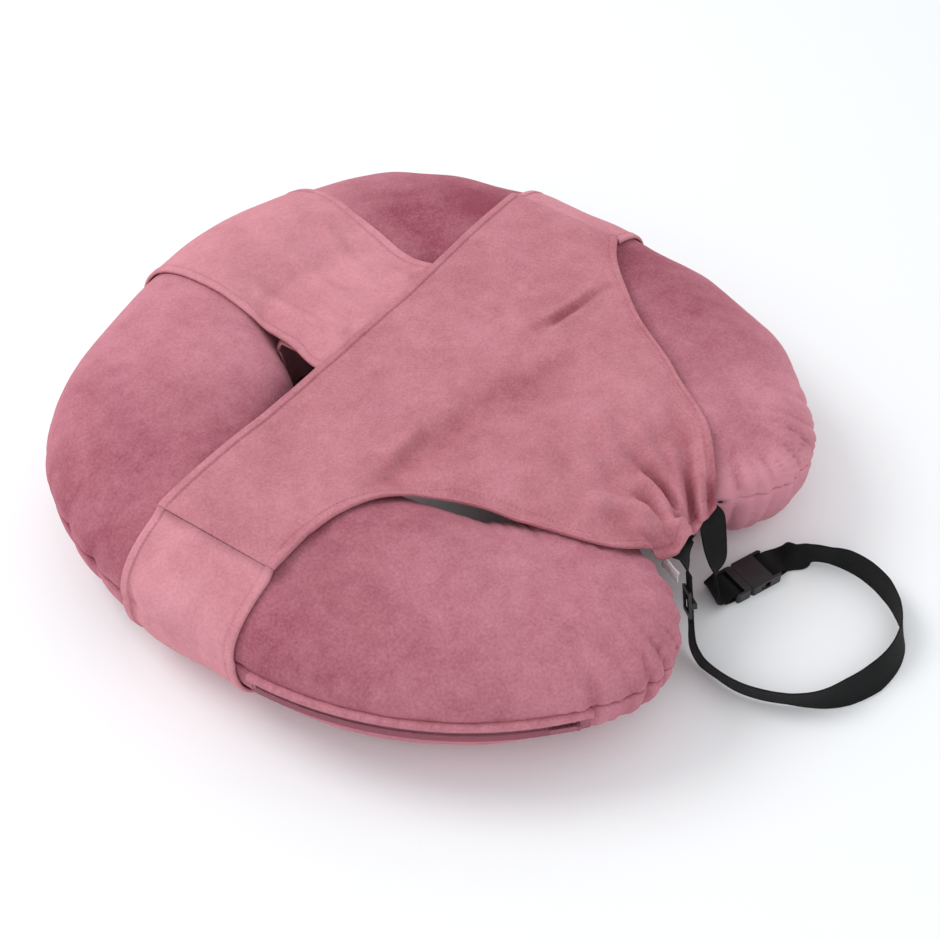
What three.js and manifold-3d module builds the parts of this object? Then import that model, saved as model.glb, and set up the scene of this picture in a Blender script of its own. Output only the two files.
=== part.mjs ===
// Nursing pillow: a horseshoe cushion in a zipped velour cover, a T-shaped seat harness laid across it, a band
// round its closed end and a webbing waist belt with a side-release buckle at its open end.
// Millimetres, +Z up, resting on z = 0. The closed end points along +Y and the two arm tips along -Y.
// "left" is the -X side and "right" the +X side. Angles called turn run from +Y (0) round to an arm tip, in degrees.

import * as THREE from 'three';
import { mergeVertices } from 'three/addons/utils/BufferGeometryUtils.js';
import Module from 'manifold-3d';

const wasm = await Module();
wasm.setup();

// ---- driving dimensions ----------------------------------------------------------------------------------------

const centreShift = new THREE.Vector3(0, 1.1, 0); // from the outline's centre to the middle of the object

const armRadius = 310.6; // outer edge of each arm, an arc about armCentre on the other side of the middle line
const armCentre = new THREE.Vector2(11.5, -35.6);
const backRadius = 302; // outer edge of the closed end, about the origin
const shoulderBulge = 22; // how far each shoulder stands out of that circle
const shoulderTurn = 48;
const shoulderSpread = 15;
const armStart = [75, 100]; // turns between which the back circle becomes the arm's arc
const tipTurns = { left: 152, right: 149 }; // where the round cap of each arm begins
const capReach = 0.8; // length of that cap over its half-width

const halfWidths = [74, 100, 92]; // at the closed end, halfway and at the tip
const topHeights = [136, 127, 110];
const seamHeight = 70; // the widest line, where the top and bottom of the cover are sewn together
const sag = 4; // how far the round section would reach under the floor before it is pressed flat
const roundness = 2.3; // exponent of the superelliptical section

const coverThickness = 1.6;
const casingInset = 2.8;
const casingThickness = 1;
const fillInset = 4.3;
const gap = 0.3; // between pieces that touch

const clothThickness = 2.2; // two layers of velour
const clothGap = 2; // from the cushion's faceted surface to the harness over it
const bandRecess = 3.6; // how far the bands press up into the underside
const padThickness = 1.2; // hook-and-loop pads

const panelBack = 78; // y of the seat panel's straight back edge
const wingFront = -38; // y of the front edge of its wings
const wingEnd = 246; // |x| of the seams where the wing bands are sewn on
const panelHeight = 126; // underside of the panel over the middle hole
const tailHeight = 78; // underside of the panel at the end of its tail
const tailEnd = -259;

const webWidth = 25;
const webThickness = 1.5;

const zipMiddle = 59.5; // z of the line where the two zip chains meet
const zipRadius = armRadius + 0.6;
const zipStart = 3; // degrees round the arm's arc from its -X point towards the tip
const zipEnd = 52;
const chainGap = 1.6;
const chainHeight = 2;
const chainDepth = 2;
const tapeDepth = 0.7;
const sliderPark = 50.4; // where the closed zip's slider rests, in the same degrees
const sliderArc = 1.3; // half of its length, in degrees

// ---- materials -------------------------------------------------------------------------------------------------

function material(color, roughness, metalness = 0) {
  return new THREE.MeshStandardMaterial({ color, roughness, metalness });
}

const velour = material(0xc8828e, 0.95);
const darkVelour = material(0xa5626e, 0.95);
const cotton = material(0xece6dc, 0.9);
const fibre = material(0xf6f4ef, 1);
const webbing = material(0x1c1c1f, 0.8);
const plastic = material(0x121214, 0.4);
const hookTape = material(0xb06f7b, 0.9);
const zipPlastic = material(0x9c5663, 0.5);
const zipMetal = material(0x9c5663, 0.4, 0.3);
const labelCloth = material(0xf4f3f1, 0.9);

// ---- small tools -----------------------------------------------------------------------------------------------

const { lerp, smoothstep, degToRad, radToDeg } = THREE.MathUtils;
const pillow = new THREE.Group();
pillow.position.copy(centreShift);

function addPiece(name, geometry, surface) {
  const mesh = new THREE.Mesh(geometry, surface);
  mesh.name = name;
  pillow.add(mesh);
  return mesh;
}

function range(count, start, end) {
  return Array.from({ length: count }, (_, i) => lerp(start, end, i / (count - 1)));
}

function closedGeometry(positions, triangles) {
  const corner = (i) => new THREE.Vector3(positions[3 * i], positions[3 * i + 1], positions[3 * i + 2]);
  let volume = 0;
  for (const [a, b, c] of triangles) {
    volume += corner(a).dot(corner(b).cross(corner(c)));
  }
  const outward = volume > 0 ? triangles : triangles.map(([a, b, c]) => [a, c, b]);
  const geometry = new THREE.BufferGeometry();
  geometry.setAttribute('position', new THREE.Float32BufferAttribute(positions, 3));
  geometry.setIndex(outward.flat());
  return geometry;
}

// A solid swept through rows. Each row is a pair of equally long lines of points, one on each face of the solid.
// Both faces are cut into triangles along the same diagonals, so that one shell nests inside another.
function slab(rows) {
  const across = rows[0].front.length;
  const ringSize = 2 * across;
  const positions = [];
  for (const row of rows) {
    for (const point of [...row.front, ...row.back.toReversed()]) {
      positions.push(point.x, point.y, point.z);
    }
  }
  const triangles = [];
  for (let i = 0; i + 1 < rows.length; i += 1) {
    for (let j = 0; j < ringSize; j += 1) {
      const a = i * ringSize + j;
      const b = i * ringSize + ((j + 1) % ringSize);
      if (j < across) {
        triangles.push([a, b, b + ringSize], [a, b + ringSize, a + ringSize]);
      } else {
        triangles.push([a, b, a + ringSize], [b, b + ringSize, a + ringSize]);
      }
    }
  }
  const last = (rows.length - 1) * ringSize;
  for (let j = 0; j + 1 < across; j += 1) {
    const k = ringSize - 1 - j;
    triangles.push([j, k, k - 1], [j, k - 1, j + 1]);
    triangles.push([last + j, last + k - 1, last + k], [last + j, last + j + 1, last + k - 1]);
  }
  return closedGeometry(positions, triangles);
}

function toSolid(geometry) {
  const bare = geometry.clone();
  bare.deleteAttribute('normal');
  bare.deleteAttribute('uv');
  const merged = mergeVertices(bare, 1e-5);
  const vertProperties = new Float32Array(merged.attributes.position.array);
  const triVerts = new Uint32Array(merged.index.array);
  return new wasm.Manifold(new wasm.Mesh({ numProp: 3, vertProperties, triVerts }));
}

function toGeometry(solid) {
  const mesh = solid.getMesh();
  const geometry = new THREE.BufferGeometry();
  geometry.setAttribute('position', new THREE.Float32BufferAttribute(mesh.vertProperties, 3));
  geometry.setIndex(Array.from(mesh.triVerts));
  return geometry;
}

function subtract(geometry, ...cutters) {
  return toGeometry(cutters.reduce((solid, cutter) => solid.subtract(toSolid(cutter)), toSolid(geometry)));
}

function unite(geometry, ...others) {
  return toGeometry(others.reduce((solid, other) => solid.add(toSolid(other)), toSolid(geometry)));
}

function intersect(geometry, other) {
  return toGeometry(toSolid(geometry).intersect(toSolid(other)));
}

function box(x0, x1, y0, y1, z0, z1) {
  const geometry = new THREE.BoxGeometry(x1 - x0, y1 - y0, z1 - z0);
  return geometry.translate((x0 + x1) / 2, (y0 + y1) / 2, (z0 + z1) / 2);
}

// A flat outline standing on z = low and reaching up to z = high.
function prism(shape, low, high, curveSegments = 6) {
  const geometry = new THREE.ExtrudeGeometry(shape, { depth: high - low, bevelEnabled: false, curveSegments });
  return geometry.translate(0, 0, low);
}

// ---- the horseshoe's form --------------------------------------------------------------------------------------

const halfTurn = 76;

// The filling swells the left of the closed end towards the hole, beside the back band.
function swell(side, turn) {
  return side < 0 ? 14 * Math.exp(-(((turn - 34) / 20) ** 2)) : 0;
}

function threePart(values, turn) {
  if (turn < halfTurn) {
    return lerp(values[0], values[1], smoothstep(turn, 0, halfTurn));
  }
  return lerp(values[1], values[2], smoothstep(turn, halfTurn, 2 * halfTurn));
}

function outlinePoint(side, turn) {
  const angle = degToRad(turn);
  const along = -armCentre.x * Math.sin(angle) + armCentre.y * Math.cos(angle);
  const armReach = along + Math.sqrt(along ** 2 - armCentre.lengthSq() + armRadius ** 2);
  const reach = lerp(backRadius, armReach, smoothstep(turn, ...armStart));
  const bulge = shoulderBulge * Math.exp(-(((turn - shoulderTurn) / shoulderSpread) ** 2) / 2);
  return new THREE.Vector2(side * Math.sin(angle), Math.cos(angle)).multiplyScalar(reach + bulge);
}

// One cross-section of the horseshoe: where it stands, which way is outwards and how large it is.
function section(side, turn, inset) {
  const outer = outlinePoint(side, turn);
  const focus = new THREE.Vector2(-side * armCentre.x, armCentre.y).multiplyScalar(smoothstep(turn, ...armStart));
  const outward = outer.clone().sub(focus).normalize();
  const halfWidth = threePart(halfWidths, turn) + swell(side, turn);
  return {
    centre: outer.addScaledVector(outward, -halfWidth),
    outward,
    halfWidth: halfWidth - inset,
    rise: threePart(topHeights, turn) - seamHeight - inset,
    drop: seamHeight + sag - inset,
  };
}

function capSection(side, tipTurn, angle, inset) {
  const base = section(side, tipTurn, inset);
  const forward = new THREE.Vector2(-base.outward.y * -side, base.outward.x * -side);
  const shrink = Math.cos(angle) ** capReach;
  const reach = (capReach * (base.halfWidth + inset) - inset) * Math.sin(angle);
  return {
    centre: base.centre.addScaledVector(forward, reach),
    outward: base.outward,
    halfWidth: base.halfWidth * shrink,
    rise: base.rise * shrink,
    drop: base.drop * shrink,
  };
}

const capAngles = range(6, 0, degToRad(89.3)).slice(1);

// Every cross-section from the left tip, round the closed end, to the right tip.
function sections(inset) {
  const arm = (side, tipTurn) => [
    ...range(15, 0, tipTurn).map((turn) => section(side, turn, inset)),
    ...capAngles.map((angle) => capSection(side, tipTurn, angle, inset)),
  ];
  return [...arm(-1, tipTurns.left).slice(1).toReversed(), ...arm(1, tipTurns.right)];
}

// The underside is pressed up where the wing bands and the back band run under it.
function undersideAt(x, y) {
  const fromWings = Math.abs(y - (panelBack + wingFront) / 2) - (panelBack - wingFront) / 2;
  const fromBand = y > 100 ? Math.abs(x - 55) - 92 : Infinity;
  return bandRecess * (1 - smoothstep(Math.min(fromWings, fromBand), 45, 75));
}

function sectionPoint(cut, degrees, inset) {
  const angle = degToRad(degrees);
  const round = (value) => Math.sign(value) * Math.abs(value) ** (2 / roundness);
  const plan = cut.centre.clone().addScaledVector(cut.outward, cut.halfWidth * round(Math.cos(angle)));
  const up = round(Math.sin(angle));
  const height = seamHeight + up * (up > 0 ? cut.rise : cut.drop);
  const lowest = undersideAt(plan.x, plan.y) + inset + gap / 2;
  return new THREE.Vector3(plan.x, plan.y, Math.max(height, lowest));
}

// The line of one cross-section from its outer edge over the top (half = 1) or under the bottom (half = -1).
function halfLine(cut, half, inset) {
  return range(9, 0, 180 * half).map((degrees) => {
    const point = sectionPoint(cut, degrees, inset);
    point.z += (half * gap) / 2;
    return point;
  });
}

// Half of a hollow shell, above or below the seam, open along the seam.
function halfShell(half, inset, thickness) {
  const inside = sections(inset + thickness);
  return slab(sections(inset).map((cut, i) => ({
    front: halfLine(cut, half, inset),
    back: halfLine(inside[i], half, inset + thickness),
  })));
}

function fillBody() {
  return slab(sections(fillInset).map((cut) => ({
    front: halfLine(cut, 1, fillInset),
    back: halfLine(cut, -1, fillInset),
  })));
}

// ---- the zip, all of it concentric with the left arm's outer arc -------------------------------------------------

const zipCentre = new THREE.Vector2(armCentre.x, armCentre.y);

// A ring sector about the left arm's centre, between two radii, two heights and two angles from its -X point.
function arcBand(inner, outer, low, high, start, end) {
  const from = Math.PI + degToRad(start);
  const to = Math.PI + degToRad(end);
  const shape = new THREE.Shape();
  shape.absarc(0, 0, outer, from, to, false);
  shape.absarc(0, 0, inner, to, from, true);
  const segments = Math.max(2, Math.round((end - start) / 2.4));
  return prism(shape, low, high, segments).translate(zipCentre.x, zipCentre.y, 0);
}

const chainInner = zipRadius - chainDepth / 2;
const chainOuter = zipRadius + chainDepth / 2;
const chainReach = chainGap / 2 + chainHeight;
const windowLow = zipMiddle - chainReach - 6.4;
const lipLow = zipMiddle + 5.6;

// ---- covers, casing and fill -----------------------------------------------------------------------------------

const plainTop = halfShell(1, 0, coverThickness);
const plainBottom = halfShell(-1, 0, coverThickness);

// The top's hem is folded over the zip as a lip, and the bottom is cut away behind the zip.
const lipWeb = arcBand(armRadius - 4, armRadius + 4.6, seamHeight + 0.5, seamHeight + 1.9, zipStart, zipEnd);
const lipApron = arcBand(armRadius + 3.2, armRadius + 4.6, lipLow, seamHeight + 1.9, zipStart, zipEnd);
const zipWindow = arcBand(
  armRadius - 30, armRadius + 20, windowLow - gap, seamHeight + 5, zipStart - 0.1, zipEnd + 0.1,
);
const innerClear = halfShell(1, casingInset - 0.9, 12);

const lip = toGeometry(toSolid(unite(lipWeb, lipApron)).subtract(toSolid(innerClear)));

const coverTop = addPiece('cover_top', unite(plainTop, lip), velour);
const coverBottom = addPiece('cover_bottom', subtract(plainBottom, zipWindow), velour);
addPiece('inner_casing_top', halfShell(1, casingInset, casingThickness), cotton);
addPiece('inner_casing_bottom', halfShell(-1, casingInset, casingThickness), cotton);
addPiece('fibre_fill', fillBody(), fibre);

// ---- zip pieces ------------------------------------------------------------------------------------------------

const chainEnds = [zipStart + 1.2, zipEnd - 1.4];
const tapeInner = zipRadius - tapeDepth / 2;
const tapeOuter = zipRadius + tapeDepth / 2;
const stopLow = zipMiddle - chainReach;
const stopHigh = zipMiddle + chainReach;

addPiece('zip_chain_upper', arcBand(
  chainInner, chainOuter, zipMiddle + chainGap / 2, stopHigh, ...chainEnds,
), zipPlastic);
addPiece('zip_chain_lower', arcBand(
  chainInner, chainOuter, stopLow, zipMiddle - chainGap / 2, ...chainEnds,
), zipPlastic);
addPiece('zip_tape_upper', arcBand(
  tapeInner, tapeOuter, stopHigh + gap, seamHeight, zipStart + 0.2, zipEnd - 0.2,
), darkVelour);
addPiece('zip_tape_lower', arcBand(
  tapeInner, tapeOuter, windowLow, stopLow - gap, zipStart + 0.2, zipEnd - 0.2,
), darkVelour);
addPiece('zip_bottom_stop', arcBand(
  chainInner, chainOuter, stopLow, stopHigh, chainEnds[0] - 0.6, chainEnds[0] - 0.1,
), zipPlastic);
addPiece('zip_top_stop_upper', arcBand(
  chainInner, chainOuter, zipMiddle + chainGap / 2, stopHigh, chainEnds[1] + 0.1, chainEnds[1] + 0.5,
), zipPlastic);
addPiece('zip_top_stop_lower', arcBand(
  chainInner, chainOuter, stopLow, zipMiddle - chainGap / 2, chainEnds[1] + 0.1, chainEnds[1] + 0.5,
), zipPlastic);

// The slider: a plate on each side of the chains, joined by a post that runs between them, with a lip on each
// plate's edge, and two lugs with a pin for the pull.
const sliderEnds = [sliderPark - sliderArc, sliderPark + sliderArc];
const plateLow = stopLow - 1.8;
const plateHigh = stopHigh + 1.8;
const outerPlate = [chainOuter + 0.4, chainOuter + 1.4];
const innerPlate = [chainInner - 1.4, chainInner - 0.4];
const postEnds = [sliderPark + 0.2, sliderPark + 0.7];
const edgeLips = [[plateLow, plateLow + 0.9], [plateHigh - 0.9, plateHigh]];
const pinRadius = 0.6;
const pinTurn = degToRad(180 + sliderPark - 0.6);
const pinReach = outerPlate[1] + 1.7;
const pinPlace = new THREE.Vector2(Math.cos(pinTurn), Math.sin(pinTurn)).multiplyScalar(pinReach).add(zipCentre);
const lugHeights = [[zipMiddle - 3.6, zipMiddle - 2.6], [zipMiddle + 2.6, zipMiddle + 3.6]];

function standingCylinder(radius, low, high, place, segments = 12) {
  const geometry = new THREE.CylinderGeometry(radius, radius, high - low, segments);
  return geometry.rotateX(Math.PI / 2).translate(place.x, place.y, (low + high) / 2);
}

addPiece('zip_slider', unite(
  arcBand(...outerPlate, plateLow, plateHigh, ...sliderEnds),
  arcBand(...innerPlate, plateLow, plateHigh, ...sliderEnds),
  arcBand(
    innerPlate[1] - 0.2, outerPlate[0] + 0.2, zipMiddle - chainGap / 2 + 0.4, zipMiddle + chainGap / 2 - 0.4,
    ...postEnds,
  ),
  ...edgeLips.map(([low, high]) => arcBand(tapeOuter + 0.4, outerPlate[0] + 0.2, low, high, ...sliderEnds)),
  ...edgeLips.map(([low, high]) => arcBand(innerPlate[1] - 0.2, tapeInner - 0.4, low, high, ...sliderEnds)),
  ...lugHeights.map(([low, high]) => arcBand(
    outerPlate[1] - 0.2, pinReach + 0.9, low, high, sliderPark - 0.85, sliderPark - 0.35,
  )),
  standingCylinder(pinRadius, lugHeights[0][0] + 0.2, lugHeights[1][1] - 0.2, pinPlace),
), zipMetal);

// The pull hangs on the pin by an eye and lies back along the closed zip.
const pullLength = 22;
const pullShape = new THREE.Shape();
pullShape.absarc(0, 0, 1.7, degToRad(30), degToRad(330), false);
pullShape.lineTo(pullLength, -0.6);
pullShape.lineTo(pullLength, 0.6);
const pullEye = new THREE.Path();
pullEye.absarc(0, 0, pinRadius + 0.4, 0, 2 * Math.PI, true);
pullShape.holes.push(pullEye);
const pull = prism(pullShape, zipMiddle - 2.2, zipMiddle + 2.2, 12);
pull.rotateZ(pinTurn - Math.PI / 2 - degToRad(3));
addPiece('zip_pull', pull.translate(pinPlace.x, pinPlace.y, 0), zipMetal);

// ---- harness over the cushion ----------------------------------------------------------------------------------

const caster = new THREE.Raycaster();
const skins = [new THREE.Mesh(plainTop), new THREE.Mesh(plainBottom)];
for (const skin of skins) {
  skin.material.side = THREE.DoubleSide;
}

// The first point of the cushion's surface that a ray meets, or null where it passes by.
function firstHit(from, direction) {
  caster.set(from, direction);
  const [hit] = caster.intersectObjects(skins);
  return hit ? hit.point : null;
}

const down = new THREE.Vector3(0, 0, -1);

// The highest point of the cushion within reach of a place, so that flat facets of cloth clear it.
function cushionTop(x, y) {
  const reach = 5;
  const heights = [[0, 0], [reach, 0], [-reach, 0], [0, reach], [0, -reach]].map(([dx, dy]) => {
    const hit = firstHit(new THREE.Vector3(x + dx, y + dy, 400), down);
    return hit ? hit.z : 0;
  });
  return Math.max(...heights);
}

// The underside of the stretched panel, which rests on the cushion where the cushion is higher.
function panelUnderside(x, y) {
  const out = Math.max(0, (wingFront - y) / (wingFront - tailEnd));
  const free = lerp(panelHeight, tailHeight, out ** 3);
  return Math.max(free, cushionTop(x, y) + clothGap);
}

function drapedCloth(xs, ys) {
  return slab(ys.map((y) => {
    const back = xs.map((x) => new THREE.Vector3(x, y, panelUnderside(x, y)));
    const front = back.map((point) => point.clone().setZ(point.z + clothThickness));
    return { front, back };
  }));
}

// The panel's outline: straight wings at the back, curving in to a tail that ends between the arm tips.
const panelOutline = new THREE.Shape();
panelOutline.moveTo(-wingEnd, panelBack);
panelOutline.lineTo(-wingEnd, wingFront);
panelOutline.lineTo(-205, wingFront);
panelOutline.splineThru([
  new THREE.Vector2(-171, -44),
  new THREE.Vector2(-134, -62),
  new THREE.Vector2(-104, -97),
  new THREE.Vector2(-84, -160),
  new THREE.Vector2(-62, -231),
  new THREE.Vector2(-18, tailEnd),
]);
panelOutline.lineTo(44, tailEnd);
panelOutline.splineThru([
  new THREE.Vector2(92, -220),
  new THREE.Vector2(127, -168),
  new THREE.Vector2(161, -113),
  new THREE.Vector2(190, -80),
  new THREE.Vector2(218, -54),
  new THREE.Vector2(wingEnd, wingFront),
]);
panelOutline.lineTo(wingEnd, panelBack);

const panelGrid = drapedCloth(range(27, -wingEnd - 4, wingEnd + 4), range(19, panelBack + 4, tailEnd - 4));
const seatPanel = intersect(panelGrid, prism(panelOutline, 20, 200, 4));
addPiece('seat_panel', seatPanel, velour);

// A point of a band that hugs the cushion, at an angle round the cushion's own section, and its outer face. The
// cushion is felt for a few degrees each way, so that flat facets of cloth clear it.
function hug(centre, sideways, degrees) {
  const ray = (angle) => sideways.clone().multiplyScalar(Math.cos(angle)).setZ(Math.sin(angle));
  const outward = ray(degToRad(degrees));
  const reaches = [-4, 0, 4].map((turn) => {
    const direction = ray(degToRad(degrees + turn));
    return firstHit(centre.clone().addScaledVector(direction, 180), direction.negate()).distanceTo(centre);
  });
  const reach = Math.max(...reaches) + clothGap;
  const inner = centre.clone().addScaledVector(outward, reach);
  const outer = inner.clone().addScaledVector(outward, clothThickness);
  inner.z = Math.max(inner.z, clothThickness);
  outer.z = Math.max(outer.z, 0);
  return { inner, outer };
}

// A flat stretch of cloth or pad between two lines of points, lifted by its thickness.
function strip(low, thickness) {
  return slab(low.map((line) => ({
    back: line,
    front: line.map((point) => point.clone().setZ(point.z + thickness)),
  })));
}

const hugHeight = seamHeight - 1.3; // the level that bands are wound about, just off the open seam
const tabTop = panelHeight - 3 * gap - 2 * padThickness;
const wingRows = range(6, wingFront, panelBack);
const armSpine = 199;

// A wing band: from the end of the panel's wing over the arm's outer side, under the arm and up inside the hole,
// where its tab turns in under the panel.
function wingBand(side) {
  const sideways = new THREE.Vector3(side, 0, 0);
  const rows = wingRows.map((y) => {
    const centre = new THREE.Vector3(side * armSpine, y, hugHeight);
    const start = 90 - Math.atan2(wingEnd + gap - armSpine, 47) * THREE.MathUtils.RAD2DEG;
    const wrapped = range(24, start, -205).map((degrees) => hug(centre, sideways, degrees));
    wrapped[0].inner.x = side * (wingEnd + gap);
    wrapped[0].outer.x = side * (wingEnd + gap);
    wrapped[0].inner.z = panelUnderside(wrapped[0].inner.x, y);
    wrapped[0].outer.z = wrapped[0].inner.z + clothThickness;
    const tab = [[101, 112], [95, tabTop - clothThickness], [64, tabTop - clothThickness]].map(([x, z], i) => ({
      inner: new THREE.Vector3(side * (x + (i === 0 ? 1.6 : 0)), y, z + (i === 0 ? 0 : clothThickness)),
      outer: new THREE.Vector3(side * (x - (i === 0 ? 1.6 : 0)), y, z),
    }));
    const line = [...wrapped, ...tab];
    return { front: line.map((p) => p.outer), back: line.map((p) => p.inner) };
  });
  return slab(rows);
}

const padRows = range(2, wingFront + 8, 40);

for (const [name, side] of [['left', -1], ['right', 1]]) {
  addPiece(`wing_band_${name}`, wingBand(side), velour);
  const pad = (height) => strip(padRows.map((y) => [
    new THREE.Vector3(side * 66, y, height),
    new THREE.Vector3(side * 93, y, height),
  ]), padThickness);
  addPiece(`wing_hook_pad_${name}`, pad(tabTop + gap), hookTape);
  addPiece(`wing_loop_pad_${name}`, pad(tabTop + 2 * gap + padThickness), hookTape);
}

// ---- back band -------------------------------------------------------------------------------------------------

const bandHeight = 119.5; // underside of the stretch that bridges the hole
const hookTop = bandHeight - 3 * gap - 2 * padThickness;
const backSpine = 229;
const inwards = new THREE.Vector3(0, -1, 0);

// One lengthwise line of the back band, at a share of the way across it: from the seam under the panel over the
// closed end of the horseshoe, under it and up inside the hole to a tab below the bridging stretch.
function backBandLine(share) {
  const overX = (y) => lerp(lerp(-36, 120, share), lerp(-30, 146, share), smoothstep(y, 90, 290));
  const tabX = lerp(-34, 82, share);
  const sewn = panelHeight - gap - clothThickness;
  const bridge = [[48, sewn], [80, sewn], [105, bandHeight], [130, bandHeight], [150, bandHeight]].map(([y, z]) => {
    const x = overX(y);
    const inner = new THREE.Vector3(x, y, Math.max(z, cushionTop(x, y) + clothGap));
    return { inner, outer: inner.clone().setZ(inner.z + clothThickness) };
  });
  const wrapped = range(30, 64, 380).map((degrees) => {
    const y = backSpine - Math.cos(degToRad(degrees)) * 70;
    const x = lerp(overX(y), tabX, smoothstep(degrees, 180, 340));
    return hug(new THREE.Vector3(x, Math.sqrt(backSpine ** 2 - x ** 2), hugHeight), inwards, degrees);
  });
  const inset = 2 * swell(Math.sign(tabX), Math.abs(radToDeg(Math.asin(tabX / 152))));
  const wallY = (reach) => Math.sqrt((reach - inset) ** 2 - tabX ** 2);
  const tab = [
    { inner: new THREE.Vector3(tabX, wallY(152), 103), outer: new THREE.Vector3(tabX, wallY(149), 103) },
    ...[wallY(144), 100].map((y) => ({
      inner: new THREE.Vector3(tabX, y, hookTop),
      outer: new THREE.Vector3(tabX, y, hookTop - clothThickness),
    })),
  ];
  const line = [...bridge, ...wrapped, ...tab];
  return { front: line.map((p) => p.outer), back: line.map((p) => p.inner) };
}

addPiece('back_band', slab(range(11, 0, 1).map(backBandLine)), velour);
const bandPad = (height) => strip([102, 116].map((y) => [
  new THREE.Vector3(-28, y, height),
  new THREE.Vector3(76, y, height),
]), padThickness);
addPiece('back_hook_pad', bandPad(hookTop + gap), hookTape);
addPiece('back_loop_pad', bandPad(hookTop + 2 * gap + padThickness), hookTape);

// ---- waist belt ------------------------------------------------------------------------------------------------

// A belt's route: the middle of the webbing and the direction across its width, point by point.
function ribbon(route, width, thickness) {
  const points = route.map(([place]) => new THREE.Vector3(...place));
  const curve = new THREE.CatmullRomCurve3(points, false, 'centripetal');
  const steps = 4;
  const count = steps * (points.length - 1);
  const rows = Array.from({ length: count + 1 }, (_, k) => {
    const t = k / count;
    const from = Math.min(points.length - 2, Math.floor(k / steps));
    const place = curve.getPoint(t);
    const along = curve.getTangent(t);
    const share = k / steps - from;
    const wide = new THREE.Vector3(...route[from][1]).lerp(new THREE.Vector3(...route[from + 1][1]), share);
    wide.addScaledVector(along, -wide.dot(along)).setLength(width / 2);
    const thick = new THREE.Vector3().crossVectors(along, wide).setLength(thickness / 2);
    place.z = Math.max(place.z, gap + Math.abs(wide.z) + Math.abs(thick.z));
    const edge = (w, t2) => place.clone().addScaledVector(wide, w).addScaledVector(thick, t2);
    return { front: [edge(-1, 1), edge(1, 1)], back: [edge(-1, -1), edge(1, -1)] };
  });
  return slab(rows);
}

// The buckle lies flat on the floor. Its own +X runs from the prong half to the socket half.
const buckleTurn = Math.atan2(-0.37, 0.93);
const buckle = new THREE.Group();
buckle.position.set(54, -292.5, 0);
buckle.rotation.z = buckleTurn;
pillow.add(buckle);

function addBucklePiece(name, geometry, surface) {
  const mesh = addPiece(name, geometry, surface);
  buckle.add(mesh);
}

// A point of the buckle's frame as a point of the belt's route.
function atBuckle(x, y, z) {
  const place = new THREE.Vector3(x, y, z).applyAxisAngle(new THREE.Vector3(0, 0, 1), buckleTurn);
  return place.add(buckle.position).toArray();
}

const buckleWidth = 32;
const buckleThickness = 9.6;
const socketMouth = -8;
const socketEnd = 24;
const barDepth = 4.4;
const slotLength = 4.4;
const slotHalf = 13.4;
const cavityEnd = 12.6;
const cavityHalf = 12.4;
const cavityHeights = [2.2, 7.8];
const windowEnds = [1.6, 11];

function roundedOutline(x0, x1, half, radius) {
  const outline = new THREE.Shape();
  outline.moveTo(x0 + radius, -half);
  outline.lineTo(x1 - radius, -half);
  outline.absarc(x1 - radius, -half + radius, radius, -Math.PI / 2, 0, false);
  outline.absarc(x1 - radius, half - radius, radius, 0, Math.PI / 2, false);
  outline.lineTo(x0 + radius, half);
  outline.absarc(x0 + radius, half - radius, radius, Math.PI / 2, Math.PI, false);
  outline.absarc(x0 + radius, -half + radius, radius, Math.PI, 1.5 * Math.PI, false);
  return outline;
}

function rectangleHole(x0, x1, half) {
  const hole = new THREE.Path();
  hole.moveTo(x0, -half);
  hole.lineTo(x0, half);
  hole.lineTo(x1, half);
  hole.lineTo(x1, -half);
  return hole;
}

const socketOutline = roundedOutline(socketMouth, socketEnd, buckleWidth / 2, 3);
socketOutline.holes.push(rectangleHole(socketEnd - barDepth - slotLength, socketEnd - barDepth, slotHalf));
addBucklePiece('buckle_socket', subtract(
  prism(socketOutline, 0, buckleThickness, 4),
  box(socketMouth - 1, cavityEnd, -cavityHalf, cavityHalf, ...cavityHeights),
  box(...windowEnds, -buckleWidth, buckleWidth, ...cavityHeights),
  box(socketEnd - barDepth - 0.4, socketEnd + 1, -slotHalf, slotHalf, buckleThickness - 3, buckleThickness + 1),
  box(socketEnd - barDepth - 0.4, socketEnd + 1, -slotHalf, slotHalf, -1, 3),
), plastic);

// The prong half: a body with a webbing slot and bar, and a tongue that guides it into the socket.
const bodyEnd = socketMouth - 0.4;
const prongHeights = [cavityHeights[0] + gap, cavityHeights[1] - gap];
const bodyOutline = roundedOutline(-socketEnd, bodyEnd, buckleWidth / 2 - 0.5, 3);
bodyOutline.holes.push(rectangleHole(-socketEnd + barDepth, -socketEnd + barDepth + slotLength, slotHalf));
const prongRoot = -12;
const prongInner = 6.6;
addBucklePiece('buckle_prong_body', unite(
  subtract(
    prism(bodyOutline, 0, buckleThickness, 4),
    box(prongRoot - 0.4, 0, prongInner - 0.4, cavityHalf + 0.2, prongHeights[0] - gap, prongHeights[1] + gap),
    box(prongRoot - 0.4, 0, -cavityHalf - 0.2, -prongInner + 0.4, prongHeights[0] - gap, prongHeights[1] + gap),
    box(-socketEnd - 1, -socketEnd + barDepth + 0.4, -slotHalf, slotHalf, buckleThickness - 3, buckleThickness + 1),
    box(-socketEnd - 1, -socketEnd + barDepth + 0.4, -slotHalf, slotHalf, -1, 3),
  ),
  box(bodyEnd - 1, cavityEnd - 1, -2.6, 2.6, ...prongHeights),
), plastic);

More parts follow.
